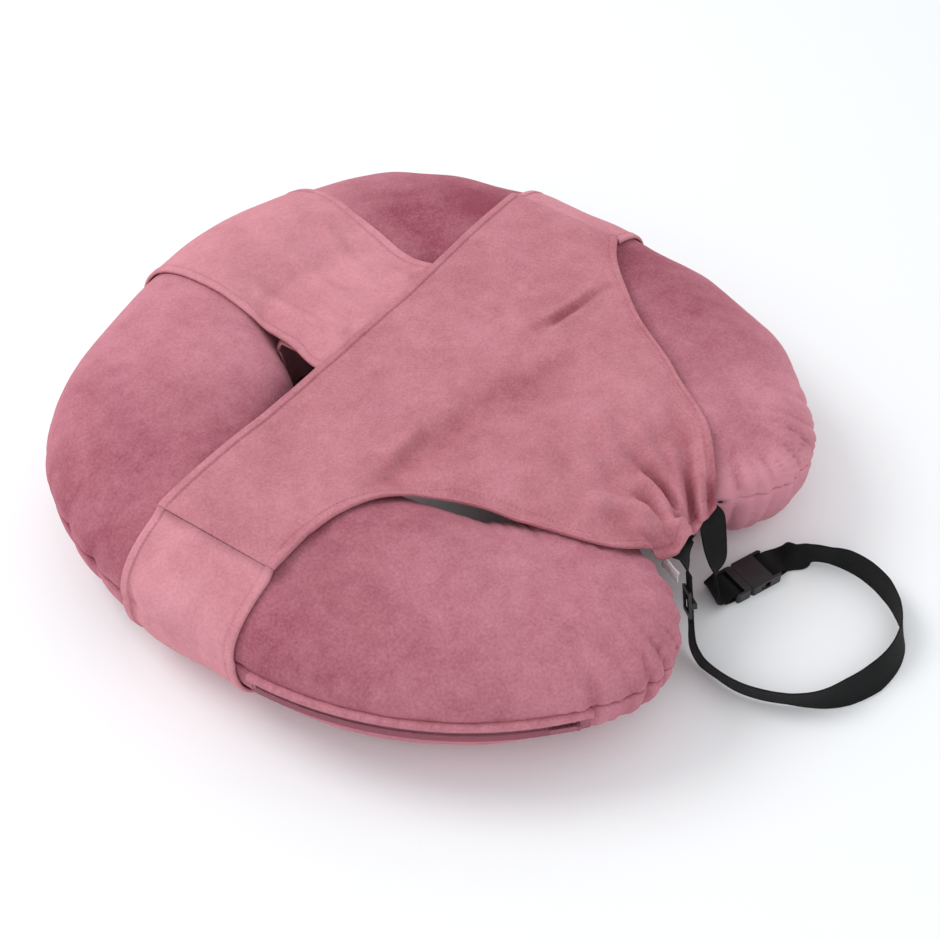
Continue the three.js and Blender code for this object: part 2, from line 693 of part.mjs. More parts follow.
// Each prong is a springy arm with an arrow head that catches behind the socket's side wall.
for (const [name, side] of [['left', 1], ['right', -1]]) {
  const arm = new THREE.Shape([
    [prongRoot, prongInner], [prongRoot, prongInner + 3.4], [windowEnds[0] + 0.4, prongInner + 3.2],
    [windowEnds[0] + 0.4, 15.2], [windowEnds[0] + 4.4, 15.6], [windowEnds[1] - 0.6, 11.4],
    [windowEnds[1] - 0.6, 8.6], [windowEnds[0] + 2, prongInner + 0.4],
  ].map(([x, y]) => new THREE.Vector2(x, side * y)));
  addBucklePiece(`buckle_prong_${name}`, prism(arm, ...prongHeights), plastic);
}

// A patch under the end of the panel's tail. Both belts' ends are sewn in between the tail and the patch.
const beltEndHeight = tailHeight - 1.8;
const patchTop = beltEndHeight - webThickness / 2 - gap;
addPiece('tail_patch', box(3, 38, -248, -234, patchTop - 1.5, patchTop), velour);

// The short belt hangs from the tail's right side, turns over and is sewn round the prong half's bar.
const flat = new THREE.Vector3(0, 1, 0).applyAxisAngle(new THREE.Vector3(0, 0, 1), buckleTurn).toArray();
const loopIn = (sign, end) => [
  [atBuckle(sign * (end + 10), 0, 5.6), flat],
  [atBuckle(sign * (end + 2), 0, 7.9), flat],
  [atBuckle(sign * (end - 2.4), 0, 8.2), flat],
  [atBuckle(sign * (end - barDepth - 2.1), 0, 6.2), flat],
  [atBuckle(sign * (end - barDepth - 2.1), 0, 3.2), flat],
  [atBuckle(sign * (end - 2.4), 0, 1.4), flat],
  [atBuckle(sign * (end + 3), 0, 1.5), flat],
  [atBuckle(sign * (end + 10), 0, 3), flat],
];

addPiece('belt_short', ribbon([
  [[40, -242, beltEndHeight], [0.9, -0.43, 0]],
  [[38, -249, beltEndHeight], [0.9, -0.43, 0]],
  [[35.5, -256.5, beltEndHeight - 0.3], [0.9, -0.43, 0]],
  [[34.5, -260.5, 73], [0.9, -0.43, 0]],
  [[34, -263.5, 63], [0.9, -0.43, 0]],
  [[32, -268, 49], [0.94, -0.3, 0]],
  [[26, -275.5, 34], [0.99, 0.1, 0]],
  [[19, -277.5, 23], [0.85, 0.5, 0.1]],
  [[14.5, -278, 14], [0.6, 0.8, 0.1]],
  ...loopIn(-1, socketEnd),
], webWidth, webThickness), webbing);

// The straight stretch of the long belt that the adjuster slides on.
const adjusterPlace = new THREE.Vector3(-27, -278.5, 43);
const beltRun = new THREE.Vector3(0.42, 0.38, 0.82).normalize();
const beltWide = [-0.6, -0.45, 0.65];

// The long belt leaves the socket flat, turns up on edge, runs round on the floor, climbs through the adjuster and
// ends under the tail.
addPiece('belt_long', ribbon([
  ...loopIn(1, socketEnd).toReversed(),
  [[92, -318, 9], [-0.1, 0.75, 0.65]],
  [[101, -326, 12.6], [-0.3, 0.3, 0.9]],
  [[108, -341, 12.9], [-0.2, 0.08, 0.97]],
  [[111.5, -356, 12.9], [0, 0.15, 0.98]],
  [[109.5, -375, 12.9], [0.1, 0.1, 0.98]],
  [[101, -395, 12.9], [0.1, 0, 0.98]],
  [[87, -412, 12.9], [-0.16, -0.1, 0.97]],
  [[72, -423, 12.5], [-0.4, -0.02, 0.9]],
  [[57, -429, 12], [-0.44, 0.24, 0.86]],
  [[38, -431, 11.3], [-0.36, 0.45, 0.8]],
  [[14, -427, 10.2], [-0.26, 0.64, 0.7]],
  [[-12, -416, 10.8], [-0.26, 0.55, 0.78]],
  [[-31, -402, 12.3], [-0.3, 0.3, 0.9]],
  [[-46, -381, 12.9], [-0.36, 0, 0.93]],
  [[-55, -360, 12.9], [-0.33, -0.05, 0.94]],
  [[-58.5, -341, 12.9], [-0.33, -0.1, 0.94]],
  [[-56.5, -322, 12.7], [-0.38, -0.2, 0.9]],
  [[-51.5, -305, 12.7], [-0.36, -0.35, 0.87]],
  [[-44.5, -294, 16], [-0.45, -0.42, 0.78]],
  ...[-22, -20, 20, 22].map((along) => [adjusterPlace.clone().addScaledVector(beltRun, along).toArray(), beltWide]),
  [[-12, -262, 70], [-0.45, 0.3, 0.8]],
  [[-8, -254, beltEndHeight - 0.6], [-0.3, 0.9, 0.1]],
  [[0, -247.5, beltEndHeight], [0, 1, 0]],
  [[10, -246.5, beltEndHeight], [0, 1, 0]],
], webWidth, webThickness), webbing);

// The slide adjuster: a frame on one face of the webbing and a bar over the other, joined beyond its edges.
const frameHalf = [11, 16.8];
const frameFaces = [-webThickness / 2 - 2.6, -webThickness / 2 - 0.4];
const barFaces = [webThickness / 2 + 0.4, webThickness / 2 + 2.2];
const postInner = webWidth / 2 + 0.8;
const adjusterFrame = roundedOutline(-frameHalf[0], frameHalf[0], frameHalf[1], 2.5);
adjusterFrame.holes.push(rectangleHole(-frameHalf[0] + 3.4, frameHalf[0] - 3.4, postInner));
const adjuster = addPiece('slide_adjuster', unite(
  prism(adjusterFrame, ...frameFaces, 4),
  box(-2.2, 2.2, -frameHalf[1], frameHalf[1], ...barFaces),
  box(-2.2, 2.2, postInner, frameHalf[1], frameFaces[0] + 0.5, barFaces[1] - 0.5),
  box(-2.2, 2.2, -frameHalf[1], -postInner, frameFaces[0] + 0.5, barFaces[1] - 0.5),
), plastic);
const wideAxis = new THREE.Vector3(...beltWide).addScaledVector(beltRun, -beltRun.dot(new THREE.Vector3(...beltWide)));
const faceAxis = new THREE.Vector3().crossVectors(beltRun, wideAxis.normalize());
adjuster.quaternion.setFromRotationMatrix(new THREE.Matrix4().makeBasis(beltRun, wideAxis, faceAxis));
adjuster.position.copy(adjusterPlace);

// A small blank care label beside the left arm's tip.
const label = addPiece('care_label', box(-10, 10, -0.3, 0.3, -6, 6), labelCloth);
label.position.set(-30, -259, 71);
label.rotation.z = Math.atan2(0.849, 0.528);

export default pillow;
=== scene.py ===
# Nursing pillow, the visual model: velour cushion, draped seat panel and bands, webbing belt and hardware.
# Lengths are millimetres in the drawing's frame; place() turns them into metres in the row frame.

import math

import bpy
import numpy as np
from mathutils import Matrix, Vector
from mathutils.bvhtree import BVHTree


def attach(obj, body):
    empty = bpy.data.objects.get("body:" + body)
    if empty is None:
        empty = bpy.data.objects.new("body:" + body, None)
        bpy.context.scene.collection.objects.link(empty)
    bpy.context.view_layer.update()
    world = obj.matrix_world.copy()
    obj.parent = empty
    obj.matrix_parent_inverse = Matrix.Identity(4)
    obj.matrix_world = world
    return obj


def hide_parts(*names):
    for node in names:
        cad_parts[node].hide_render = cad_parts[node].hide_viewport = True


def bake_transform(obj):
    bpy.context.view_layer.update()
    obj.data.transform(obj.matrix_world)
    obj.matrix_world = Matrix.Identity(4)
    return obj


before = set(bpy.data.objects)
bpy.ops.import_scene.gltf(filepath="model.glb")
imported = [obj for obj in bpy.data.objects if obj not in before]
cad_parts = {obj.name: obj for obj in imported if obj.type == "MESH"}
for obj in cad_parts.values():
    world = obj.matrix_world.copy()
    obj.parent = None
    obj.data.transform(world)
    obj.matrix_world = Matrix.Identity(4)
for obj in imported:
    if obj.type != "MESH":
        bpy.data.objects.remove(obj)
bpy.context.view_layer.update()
scene = bpy.context.scene

SHIFT = np.array([0.0, 1.1, 0.0])  # from the drawing's origin to the row frame's


def place(points):
    return (np.asarray(points, float) + SHIFT) * 0.001


# ---- camera ----

camera = bpy.data.objects.new("camera", bpy.data.cameras.new("camera"))
scene.collection.objects.link(camera)
scene.camera = camera
camera.location = place([-824.1, -620.9, 1062.5])
camera.rotation_euler = Vector((0.5727, 0.4004, -0.7153)).to_track_quat("-Z", "Y").to_euler()
camera.data.lens = 63.33
camera.data.sensor_width = 36
camera.data.clip_end = 20

# ---- arithmetic ----


def lerp(a, b, t):
    return a + (b - a) * t


def smooth(x, low, high):
    t = np.clip((x - low) / (high - low), 0, 1)
    return t * t * (3 - 2 * t)


def bell(x, width):
    return np.exp(-((x / width) ** 2))


def higher(a, b, blend):
    """The larger of two heights, with a soft change from one to the other."""
    return 0.5 * (a + b + np.sqrt((a - b) ** 2 + blend**2))


def ripple(points, size, seed, count=7):
    """Smooth irregular waves of about that size through space, between about -1 and 1."""
    draw = np.random.default_rng(seed)
    total = np.zeros(points.shape[:-1])
    for _ in range(count):
        direction = draw.normal(size=3)
        direction /= np.linalg.norm(direction)
        length = size * draw.uniform(0.7, 1.5)
        total += np.sin(points @ direction * (2 * math.pi / length) + draw.uniform(0, 2 * math.pi))
    return total / math.sqrt(count)


def line_distance(x, y, line):
    """Distance from each point to a polyline, and how far along it the nearest point is, from 0 to 1."""
    best = np.full(np.shape(x), 1e9)
    share = np.zeros(np.shape(x))
    parts = len(line) - 1
    for k in range(parts):
        a, b = np.array(line[k], float), np.array(line[k + 1], float)
        ab = b - a
        t = np.clip(((x - a[0]) * ab[0] + (y - a[1]) * ab[1]) / (ab @ ab), 0, 1)
        d = np.hypot(x - a[0] - t * ab[0], y - a[1] - t * ab[1])
        near = d < best
        best = np.where(near, d, best)
        share = np.where(near, (k + t) / parts, share)
    return best, share


def spline(points, count):
    """Points along a smooth curve through the given points, with centripetal spacing."""
    p = [np.array(q, float) for q in points]
    p = [2 * p[0] - p[1], *p, 2 * p[-1] - p[-2]]
    out = []
    for i in range(1, len(p) - 2):
        d0, d1, d2 = (max(np.linalg.norm(p[k + 1] - p[k]), 1e-4) ** 0.5 for k in (i - 1, i, i + 1))
        t1 = ((p[i] - p[i - 1]) / d0 - (p[i + 1] - p[i - 1]) / (d0 + d1) + (p[i + 1] - p[i]) / d1) * d1
        t2 = ((p[i + 1] - p[i]) / d1 - (p[i + 2] - p[i]) / (d1 + d2) + (p[i + 2] - p[i + 1]) / d2) * d1
        for k in range(count):
            t = k / count
            a = 2 * p[i] - 2 * p[i + 1] + t1 + t2
            b = -3 * p[i] + 3 * p[i + 1] - 2 * t1 - t2
            out.append(a * t**3 + b * t**2 + t1 * t + p[i])
    out.append(p[-2])
    return np.array(out)


def travelled(line):
    """Distance along a polyline to each of its points."""
    steps = np.linalg.norm(np.diff(line, axis=0), axis=1)
    return np.concatenate([[0], np.cumsum(steps)])


def between_rows(stations, known, rows):
    """Rows interpolated at those stations, from rows at known ones."""
    return np.stack([np.interp(stations, known, column) for column in rows.T], -1)


def resample(line, shares):
    """Points at those shares of a polyline's length."""
    along = travelled(line)
    return between_rows(shares * along[-1], along, line)


# ---- meshes ----


def add_piece(name, points, faces, material, body="pillow", uv=None, tint=None):
    mesh = bpy.data.meshes.new(name)
    mesh.from_pydata(place(points).tolist(), [], faces)
    mesh.polygons.foreach_set("use_smooth", [True] * len(mesh.polygons))
    if uv is not None:
        layer = mesh.uv_layers.new(name="cloth")
        corners = np.empty(len(mesh.loops), dtype=np.int32)
        mesh.loops.foreach_get("vertex_index", corners)
        layer.data.foreach_set("uv", (np.asarray(uv)[corners] * 0.001).ravel())
    if tint is not None:
        attribute = mesh.attributes.new("tint", "FLOAT", "POINT")
        attribute.data.foreach_set("value", np.asarray(tint, float).ravel())
    mesh.materials.append(material)
    mesh.validate()
    piece = bpy.data.objects.new(name, mesh)
    scene.collection.objects.link(piece)
    if body:
        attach(piece, body)
    return piece


def along_lengths(grid, axis):
    steps = np.linalg.norm(np.diff(grid, axis=axis), axis=2)
    zero = np.zeros_like(np.take(steps, [0], axis=axis))
    return np.cumsum(np.concatenate([zero, steps], axis=axis), axis=axis)


def quads(rows, columns):
    """The faces of a grid of points, rows by columns."""
    i, j = np.meshgrid(np.arange(rows - 1), np.arange(columns - 1), indexing="ij")
    a = (i * columns + j).ravel()
    return np.stack([a, a + 1, a + columns + 1, a + columns], 1)


def slab(name, front, back, material, body="pillow", tint=None):
    """A closed sheet between two grids of points, rows by columns."""
    rows, columns = front.shape[:2]
    size = rows * columns
    points = np.concatenate([front.reshape(-1, 3), back.reshape(-1, 3)])
    top = quads(rows, columns)
    bottom = top[:, ::-1] + size
    border = np.concatenate([
        np.arange(columns - 1),
        np.arange(rows - 1) * columns + columns - 1,
        (rows - 1) * columns + np.arange(columns - 1, 0, -1),
        np.arange(rows - 1, 0, -1) * columns,
    ])
    following = np.roll(border, -1)
    sides = np.stack([border, border + size, following + size, following], 1)
    faces = np.concatenate([top, bottom, sides])
    centre = points.mean(0)
    p = points[faces]
    volume = np.einsum("ij,ij->i", p[:, 0] - centre, np.cross(p[:, 1] - centre, p[:, 2] - centre)).sum()
    volume += np.einsum("ij,ij->i", p[:, 0] - centre, np.cross(p[:, 2] - centre, p[:, 3] - centre)).sum()
    if volume < 0:
        faces = faces[:, ::-1]
    uv = np.stack([along_lengths(front, 1), along_lengths(front, 0)], 2).reshape(-1, 2)
    doubled = None if tint is None else np.concatenate([np.ravel(tint), np.ravel(tint)])
    return add_piece(name, points, faces.tolist(), material, body, np.concatenate([uv, uv]), doubled)


def search_tree(*grids):
    points, faces, start = [], [], 0
    for grid in grids:
        points.append(grid.reshape(-1, 3))
        faces.append(quads(*grid.shape[:2]) + start)
        start += len(points[-1])
    return BVHTree.FromPolygons(np.concatenate(points).tolist(), np.concatenate(faces).tolist())


def normals(grid):
    across = np.gradient(grid, axis=1)
    along = np.gradient(grid, axis=0)
    n = np.cross(across, along)
    return n / np.maximum(np.linalg.norm(n, axis=2, keepdims=True), 1e-9)


# ---- materials ----


def new_material(name):
    material = bpy.data.materials.new(name)
    material.use_nodes = True
    nodes, links = material.node_tree.nodes, material.node_tree.links
    return material, nodes, links, nodes["Principled BSDF"]


def noise(nodes, links, source, scale, detail=3, rough=0.55):
    node = nodes.new("ShaderNodeTexNoise")
    node.inputs["Scale"].default_value = scale
    node.inputs["Detail"].default_value = detail
    node.inputs["Roughness"].default_value = rough
    links.new(source, node.inputs["Vector"])
    return node.outputs["Fac"]


def arithmetic(nodes, links, operation, a, b):
    node = nodes.new("ShaderNodeMath")
    node.operation = operation
    for slot, value in zip(node.inputs, (a, b)):
        if isinstance(value, (int, float)):
            slot.default_value = value
        else:
            links.new(value, slot)
    return node.outputs[0]


def ramp(nodes, links, source, stops):
    node = nodes.new("ShaderNodeValToRGB")
    for element, (position, color) in zip(node.color_ramp.elements, stops):
        element.position = position
        element.color = (*color, 1)
    links.new(source, node.inputs["Fac"])
    return node.outputs["Color"]


def linear(red, green, blue):
    return tuple(((c / 255 + 0.055) / 1.055) ** 2.4 if c > 10 else c / 3294.6 for c in (red, green, blue))


def bump(nodes, links, shader, height, strength, distance, under=None):
    node = nodes.new("ShaderNodeBump")
    node.inputs["Strength"].default_value = strength
    node.inputs["Distance"].default_value = distance
    links.new(height, node.inputs["Height"])
    if under is not None:
        links.new(under, node.inputs["Normal"])
    links.new(node.outputs["Normal"], shader.inputs["Normal"])
    return node.outputs["Normal"]


def velour(name, dark, light):
    """Short-pile velour. Its colour wanders between two tones with noise where the pile lies this way and
    that, and with the tint attribute, which carries painted light and shade.
    """
    material, nodes, links, shader = new_material(name)
    place_node = nodes.new("ShaderNodeTexCoord").outputs["Object"]
    # The tint attribute carries painted light and shade as well as tone.
    tint_node = nodes.new("ShaderNodeAttribute")
    tint_node.attribute_name = "tint"
    broad = noise(nodes, links, place_node, 9, 3, 0.6)
    patchy = noise(nodes, links, place_node, 55, 4, 0.65)
    pile = noise(nodes, links, place_node, 420, 3, 0.7)
    tone = tint_node.outputs["Fac"]
    for cloud, amount in ((broad, 0.42), (patchy, 0.5), (pile, 0.7)):
        centred = arithmetic(nodes, links, "SUBTRACT", cloud, 0.5)
        tone = arithmetic(nodes, links, "ADD", tone, arithmetic(nodes, links, "MULTIPLY", centred, amount))
    links.new(ramp(nodes, links, tone, [(0, dark), (1, light)]), shader.inputs["Base Color"])
    shader.inputs["Roughness"].default_value = 0.92
    shader.inputs["Specular IOR Level"].default_value = 0.12
    shader.inputs["Sheen Weight"].default_value = 0.62
    shader.inputs["Sheen Roughness"].default_value = 0.4
    shader.inputs["Sheen Tint"].default_value = (*light, 1)
    fine = noise(nodes, links, place_node, 1500, 2, 0.7)
    first = bump(nodes, links, shader, patchy, 0.4, 0.0015)
    bump(nodes, links, shader, fine, 0.5, 0.0004, first)
    return material


def woven(name, color, across, along, roughness=0.8, contrast=0.5, sheen=0.15):
    """Webbing or tape: ribs across it and warp lines along it, from the cloth's own coordinates."""
    material, nodes, links, shader = new_material(name)
    coordinates = nodes.new("ShaderNodeTexCoord").outputs["UV"]
    parts = nodes.new("ShaderNodeSeparateXYZ")
    links.new(coordinates, parts.inputs[0])
    warp, weft = (
        arithmetic(nodes, links, "SINE", arithmetic(nodes, links, "MULTIPLY", parts.outputs[axis], pitch), 0)
        for axis, pitch in (("X", across), ("Y", along))
    )
    weave = arithmetic(nodes, links, "MULTIPLY", warp, weft)
    object_place = nodes.new("ShaderNodeTexCoord").outputs["Object"]
    fuzz = noise(nodes, links, object_place, 700, 3)
    shade = arithmetic(nodes, links, "ADD", arithmetic(nodes, links, "MULTIPLY", weave, 0.25), fuzz)
    low = tuple(c * (1 - contrast) for c in color)
    high = tuple(c * (1 + contrast) for c in color)
    links.new(ramp(nodes, links, shade, [(0.2, low), (0.8, high)]), shader.inputs["Base Color"])
    shader.inputs["Roughness"].default_value = roughness
    shader.inputs["Specular IOR Level"].default_value = 0.25
    shader.inputs["Sheen Weight"].default_value = sheen
    bump(nodes, links, shader, weave, 0.6, 0.0003)
    return material


def moulded(name, color, roughness, metallic=0.0):
    """Moulded plastic or enamelled metal with a fine spark-eroded grain and small scuffs."""
    material, nodes, links, shader = new_material(name)
    place_node = nodes.new("ShaderNodeTexCoord").outputs["Object"]
    grain = noise(nodes, links, place_node, 2600, 2)
    scuff = noise(nodes, links, place_node, 160, 5, 0.7)
    low = tuple(c * 0.8 for c in color)
    high = tuple(min(1, c * 1.35 + 0.004) for c in color)
    links.new(ramp(nodes, links, scuff, [(0.35, low), (0.75, high)]), shader.inputs["Base Color"])
    gloss = nodes.new("ShaderNodeMapRange")
    gloss.inputs["To Min"].default_value = roughness - 0.08
    gloss.inputs["To Max"].default_value = roughness + 0.12
    links.new(scuff, gloss.inputs["Value"])
    links.new(gloss.outputs["Result"], shader.inputs["Roughness"])
    shader.inputs["Metallic"].default_value = metallic
    bump(nodes, links, shader, grain, 0.25, 0.0001)
    return material


dark_rose = linear(140, 66, 82)
pale_rose = linear(214, 146, 158)
cover_cloth = velour("velour_cover", dark_rose, pale_rose)
panel_cloth = velour("velour_panel", linear(148, 77, 88), linear(217, 150, 160))
thread = woven("thread", linear(178, 104, 118), 9000, 9000, 0.7, 0.2)
zip_tape = woven("zip_tape", linear(140, 74, 88), 6000, 5200, 0.85, 0.3)
hook_tape = woven("hook_tape", linear(150, 88, 100), 4200, 4200, 0.9, 0.4)
web = woven("webbing", (0.004, 0.004, 0.0045), 4200, 5200, 0.8, 0.45, 0.02)
cotton = woven("cotton", linear(233, 228, 219), 8000, 8000, 0.9, 0.06)
fibre = velour("fibre", linear(225, 223, 218), linear(250, 249, 246))
label_cloth = woven("label_satin", linear(240, 240, 238), 9000, 9000, 0.6, 0.05)
black_plastic = moulded("buckle_plastic", (0.012, 0.012, 0.013), 0.38)
zip_plastic = moulded("zip_plastic", linear(150, 84, 98), 0.45)
zip_metal = moulded("zip_enamel", linear(150, 84, 98), 0.35, 0.3)

# ---- the horseshoe ----

ARM_RADIUS, ARM_CENTRE = 310.6, np.array([11.5, -35.6])
BACK_RADIUS = 302
SHOULDER = (22, 48, 15)
ARM_START = (75, 100)
TIP_TURN = {-1: 152, 1: 149}
HALF_TURN = 76
CAP_REACH = 0.8
HALF_WIDTHS, TOP_HEIGHTS = (74, 100, 92), (136, 127, 110)
SEAM_HEIGHT, SEAM_GAP, SAG, ROUNDNESS = 70, 0.15, 4, 2.3
PANEL_BACK, WING_FRONT, WING_END = 78, -38, 246
PANEL_HEIGHT, TAIL_HEIGHT, TAIL_END = 126, 78, -259
CLOTH = 2.2
BELT_END = TAIL_HEIGHT - 1.8
ZIP_START, ZIP_END = 3, 52


def three_part(values, turn):
    first = lerp(values[0], values[1], smooth(turn, 0, HALF_TURN))
    second = lerp(values[1], values[2], smooth(turn, HALF_TURN, 2 * HALF_TURN))
    return np.where(turn < HALF_TURN, first, second)


def swell(side, turn):
    """How much wider the left of the closed end is, towards the hole."""
    return 14 * bell(turn - 34, 20) * (side < 0)


def arm_sections(side, turns, caps):
    """Centre, outward direction and half sizes of the cross-sections of one arm, cap included."""
    turn = np.concatenate([turns, np.full(len(caps), float(TIP_TURN[side]))])
    cap = np.concatenate([np.zeros(len(turns)), caps])
    angle = np.radians(turn)
    inward = -ARM_CENTRE[0] * np.sin(angle) + ARM_CENTRE[1] * np.cos(angle)
    reach = inward + np.sqrt(inward**2 - ARM_CENTRE @ ARM_CENTRE + ARM_RADIUS**2)
    reach = lerp(BACK_RADIUS, reach, smooth(turn, *ARM_START))
    reach = reach + SHOULDER[0] * np.exp(-(((turn - SHOULDER[1]) / SHOULDER[2]) ** 2) / 2)
    outer = np.stack([side * np.sin(angle), np.cos(angle)], 1) * reach[:, None]
    focus = np.array([-side * ARM_CENTRE[0], ARM_CENTRE[1]]) * smooth(turn, *ARM_START)[:, None]
    outward = outer - focus
    outward /= np.linalg.norm(outward, axis=1, keepdims=True)
    half = three_part(HALF_WIDTHS, turn) + swell(side, turn)
    forward = np.stack([outward[:, 1] * side, -outward[:, 0] * side], 1)
    centre = outer - outward * half[:, None] + forward * (CAP_REACH * half * np.sin(cap))[:, None]
    shrink = np.cos(cap) ** CAP_REACH
    rise = (three_part(TOP_HEIGHTS, turn) - SEAM_HEIGHT) * shrink
    drop = np.full(len(turn), float(SEAM_HEIGHT + SAG)) * shrink
    return np.column_stack([centre, outward, half * shrink, rise, drop, turn * side, cap])


caps = np.linspace(0, math.radians(89.3), 30)[1:]
left_arm = arm_sections(-1, np.linspace(0, TIP_TURN[-1], 190), caps)
right_arm = arm_sections(1, np.linspace(0, TIP_TURN[1], 190), caps)
SECTIONS = np.concatenate([left_arm[:0:-1], right_arm])


def underside(x, y):
    """How far the cushion's underside is lifted, to leave room for the bands that go under it."""
    from_wings = np.abs(y - (PANEL_BACK + WING_FRONT) / 2) - (PANEL_BACK - WING_FRONT) / 2
    from_band = np.where(y > 100, np.abs(x - 55) - 92, 1e3)
    return 3.6 * (1 - smooth(np.minimum(from_wings, from_band), 45, 75))


def section_grid(degrees):
    """The plain horseshoe at angles round each cross-section, sections by angles."""
    s = SECTIONS[:, None, :]
    angle = np.radians(degrees)[None, :]
    c, v = np.cos(angle), np.sin(angle)
    c = np.sign(c) * np.abs(c) ** (2 / ROUNDNESS)
    v = np.sign(v) * np.abs(v) ** (2 / ROUNDNESS)
    x = s[..., 0] + s[..., 2] * s[..., 4] * c
    y = s[..., 1] + s[..., 3] * s[..., 4] * c
    z = SEAM_HEIGHT + v * np.where(v > 0, s[..., 5], s[..., 6])
    return np.stack([x, y, np.maximum(z, underside(x, y) + SEAM_GAP)], 2)


def valley(along, pitch, seed):
    """Narrow valleys across a line, about that far apart but unevenly, from 0 on the crests to 1."""
    draw = np.random.default_rng(seed)
    phase = draw.uniform(0, 6, 3)
    slow = 0.7 * np.sin(along / (2.3 * pitch) + phase[0])
    slower = 0.5 * np.sin(along / (5.1 * pitch) + phase[1])
    warped = along + pitch * (slow + slower)
    return (1 - np.abs(np.sin(math.pi * warped / pitch + phase[2]))) ** 1.6


def outward_sign(grid, normal):
    """1 where a grid's normals point out of the cushion, and -1 where they point in."""
    middle = np.stack([SECTIONS[:, 0], SECTIONS[:, 1], np.full(len(SECTIONS), SEAM_HEIGHT)], 1)[:, None, :]
    return np.sign(np.median((normal * (grid - middle)).sum(2)))


def tip_folds(grid, side):
    """Folds that run inwards from the seam round one arm's tip, as a depth."""
    base = arm_sections(side, np.array([float(TIP_TURN[side])]), np.array([]))[0]
    centre, outward, half = base[:2], base[2:4], base[4]
    forward = np.array([outward[1] * side, -outward[0] * side])
    ahead = (grid[..., :2] - centre) @ forward
    aside = (grid[..., :2] - centre) @ outward
    beyond = np.maximum(ahead, 0) / CAP_REACH
    from_edge = half * (1 - np.hypot(beyond, aside) / half)
    round_tip = half * np.arctan2(aside, beyond) + np.sign(aside) * np.maximum(-ahead, 0)
    near = smooth(ahead, -80, -10) * (np.hypot(ahead, aside) < 160)
    short = 3.0 * valley(round_tip, 13.5, 15 + side) * np.exp(-np.maximum(from_edge, 0) / 26)
    long = 3.8 * valley(round_tip, 29, 18 + side) * np.exp(-np.maximum(from_edge, 0) / 46)
    return near * (short + long)


def cushion_half(sign):
    """The fine surface of the top (1) or bottom (-1) half, and its tone, which carries painted light and
    shade.
    """
    share = np.linspace(0, 1, 76)
    degrees = 180 * (share - np.sin(2 * math.pi * share) / (2 * math.pi) * 0.55)
    grid = section_grid(sign * degrees)
    normal = normals(grid)
    normal *= outward_sign(grid, normal)
    edge = along_lengths(grid[:, :1], 0)
    inner_edge = along_lengths(grid[:, -1:], 0)
    turn = SECTIONS[:, 7:8]
    cap = SECTIONS[:, 8:9]
    from_outer = along_lengths(grid, 1)
    from_inner = from_outer[:, -1:] - from_outer
    tip = smooth(np.abs(turn), 112, 146)
    far = smooth(turn, 20, 60)
    corner = bell(turn + 74, 17)
    push = np.zeros(grid.shape[:2])
    fine = valley(edge, 13, 3)
    coarse = valley(edge, 27, 5)
    broad = valley(edge, 46, 9)
    along_arm = 1 - tip * 0.8
    push -= 0.5 * along_arm * fine * np.exp(-from_outer / 10)
    push -= 0.9 * along_arm * coarse * np.exp(-from_outer / 16)
    push -= 4.2 * corner * broad * np.exp(-from_outer / 60)
    push -= 0.91 * smooth(np.abs(turn), 30, 60) * broad * np.exp(-from_outer / 22)
    inner_fine = valley(inner_edge, 15, 12)
    inner_coarse = valley(inner_edge, 30, 14)
    push -= 0.6 * along_arm * inner_fine * np.exp(-from_inner / 14)
    push -= 1.4 * along_arm * inner_coarse * np.exp(-from_inner / 26)
    push -= tip_folds(grid, -1) + tip_folds(grid, 1)
    if sign > 0:
        push += 13 * bell(turn + 120, 24) * bell(from_inner - 62, 50)
        push += 11 * bell(turn + 30, 24) * bell(from_inner - 40, 48)
    push += 1.5 * ripple(grid, 150, 21) + 0.55 * ripple(grid, 62, 22) * (0.6 + far + tip)
    push = np.maximum(push, -8.5)
    seam = bell(from_outer, 2.2) + bell(from_inner, 2.2)
    push -= 1.6 * seam
    arc = np.degrees(np.arctan2(ARM_CENTRE[1] - grid[..., 1], ARM_CENTRE[0] - grid[..., 0]))
    in_zip = smooth(arc, ZIP_START - 1, ZIP_START + 1.5) * (1 - smooth(arc, ZIP_END - 1.5, ZIP_END + 1))
    in_zip = in_zip * (turn < 0) * (from_outer < 60)
    if sign > 0:
        push = lerp(push, np.maximum(push, -0.8), in_zip * (1 - smooth(from_outer, 4, 16)))
    else:
        recess = in_zip * (1 - smooth(np.abs(grid[..., 2] - 60), 9, 13))
        push = push * (1 - recess) - 1.9 * recess
        push = np.where(grid[..., 2] < 1.5 + underside(grid[..., 0], grid[..., 1]), 0, push)
    push *= smooth(np.minimum(cap.max() - cap, 0.35), 0.0, 0.2)
    grid = grid + normal * push[..., None]
    floor_height = SEAM_GAP + 0.8 * underside(grid[..., 0], grid[..., 1]) * (sign < 0)
    grid[..., 2] = np.maximum(grid[..., 2], floor_height) + sign * SEAM_GAP
    low = np.minimum(push, 0)
    # Painted shade: darker in fold valleys (low) and over the far arm (far).
    tint = 0.60 - 0.10 * far + 0.075 * low
    # Painted shade over the left arm past the back, eased by painted light towards its tip.
    tint = tint - 0.30 * smooth(-turn, 20, 60) + 0.22 * smooth(-turn, 95, 148)
    # Painted light: the far arm's tip, cap and outer rim are lighter, a painted sheen and the light from that
    # side.
    rim = np.exp(-from_outer / 60)
    tint = tint - 0.28 * far + 0.80 * smooth(turn, 122, 150) * (0.35 + 0.65 * rim)
    tint = tint + 0.28 * smooth(turn, 60, 110) * rim
    tint = tint + 0.45 * smooth(cap * turn, 30, 150) * rim
    # Painted light on the top of the back and over the bottom half; painted shade in the seam groove; the
    # ripple is a random wander of tone.
    tint = tint + 0.20 * bell(turn - 18, 26) + 0.10 * (sign < 0)
    tint = tint + 0.05 * ripple(grid, 90, 31) - 0.12 * seam
    return grid, tint


top_grid, top_tint = cushion_half(1)
bottom_grid, bottom_tint = cushion_half(-1)


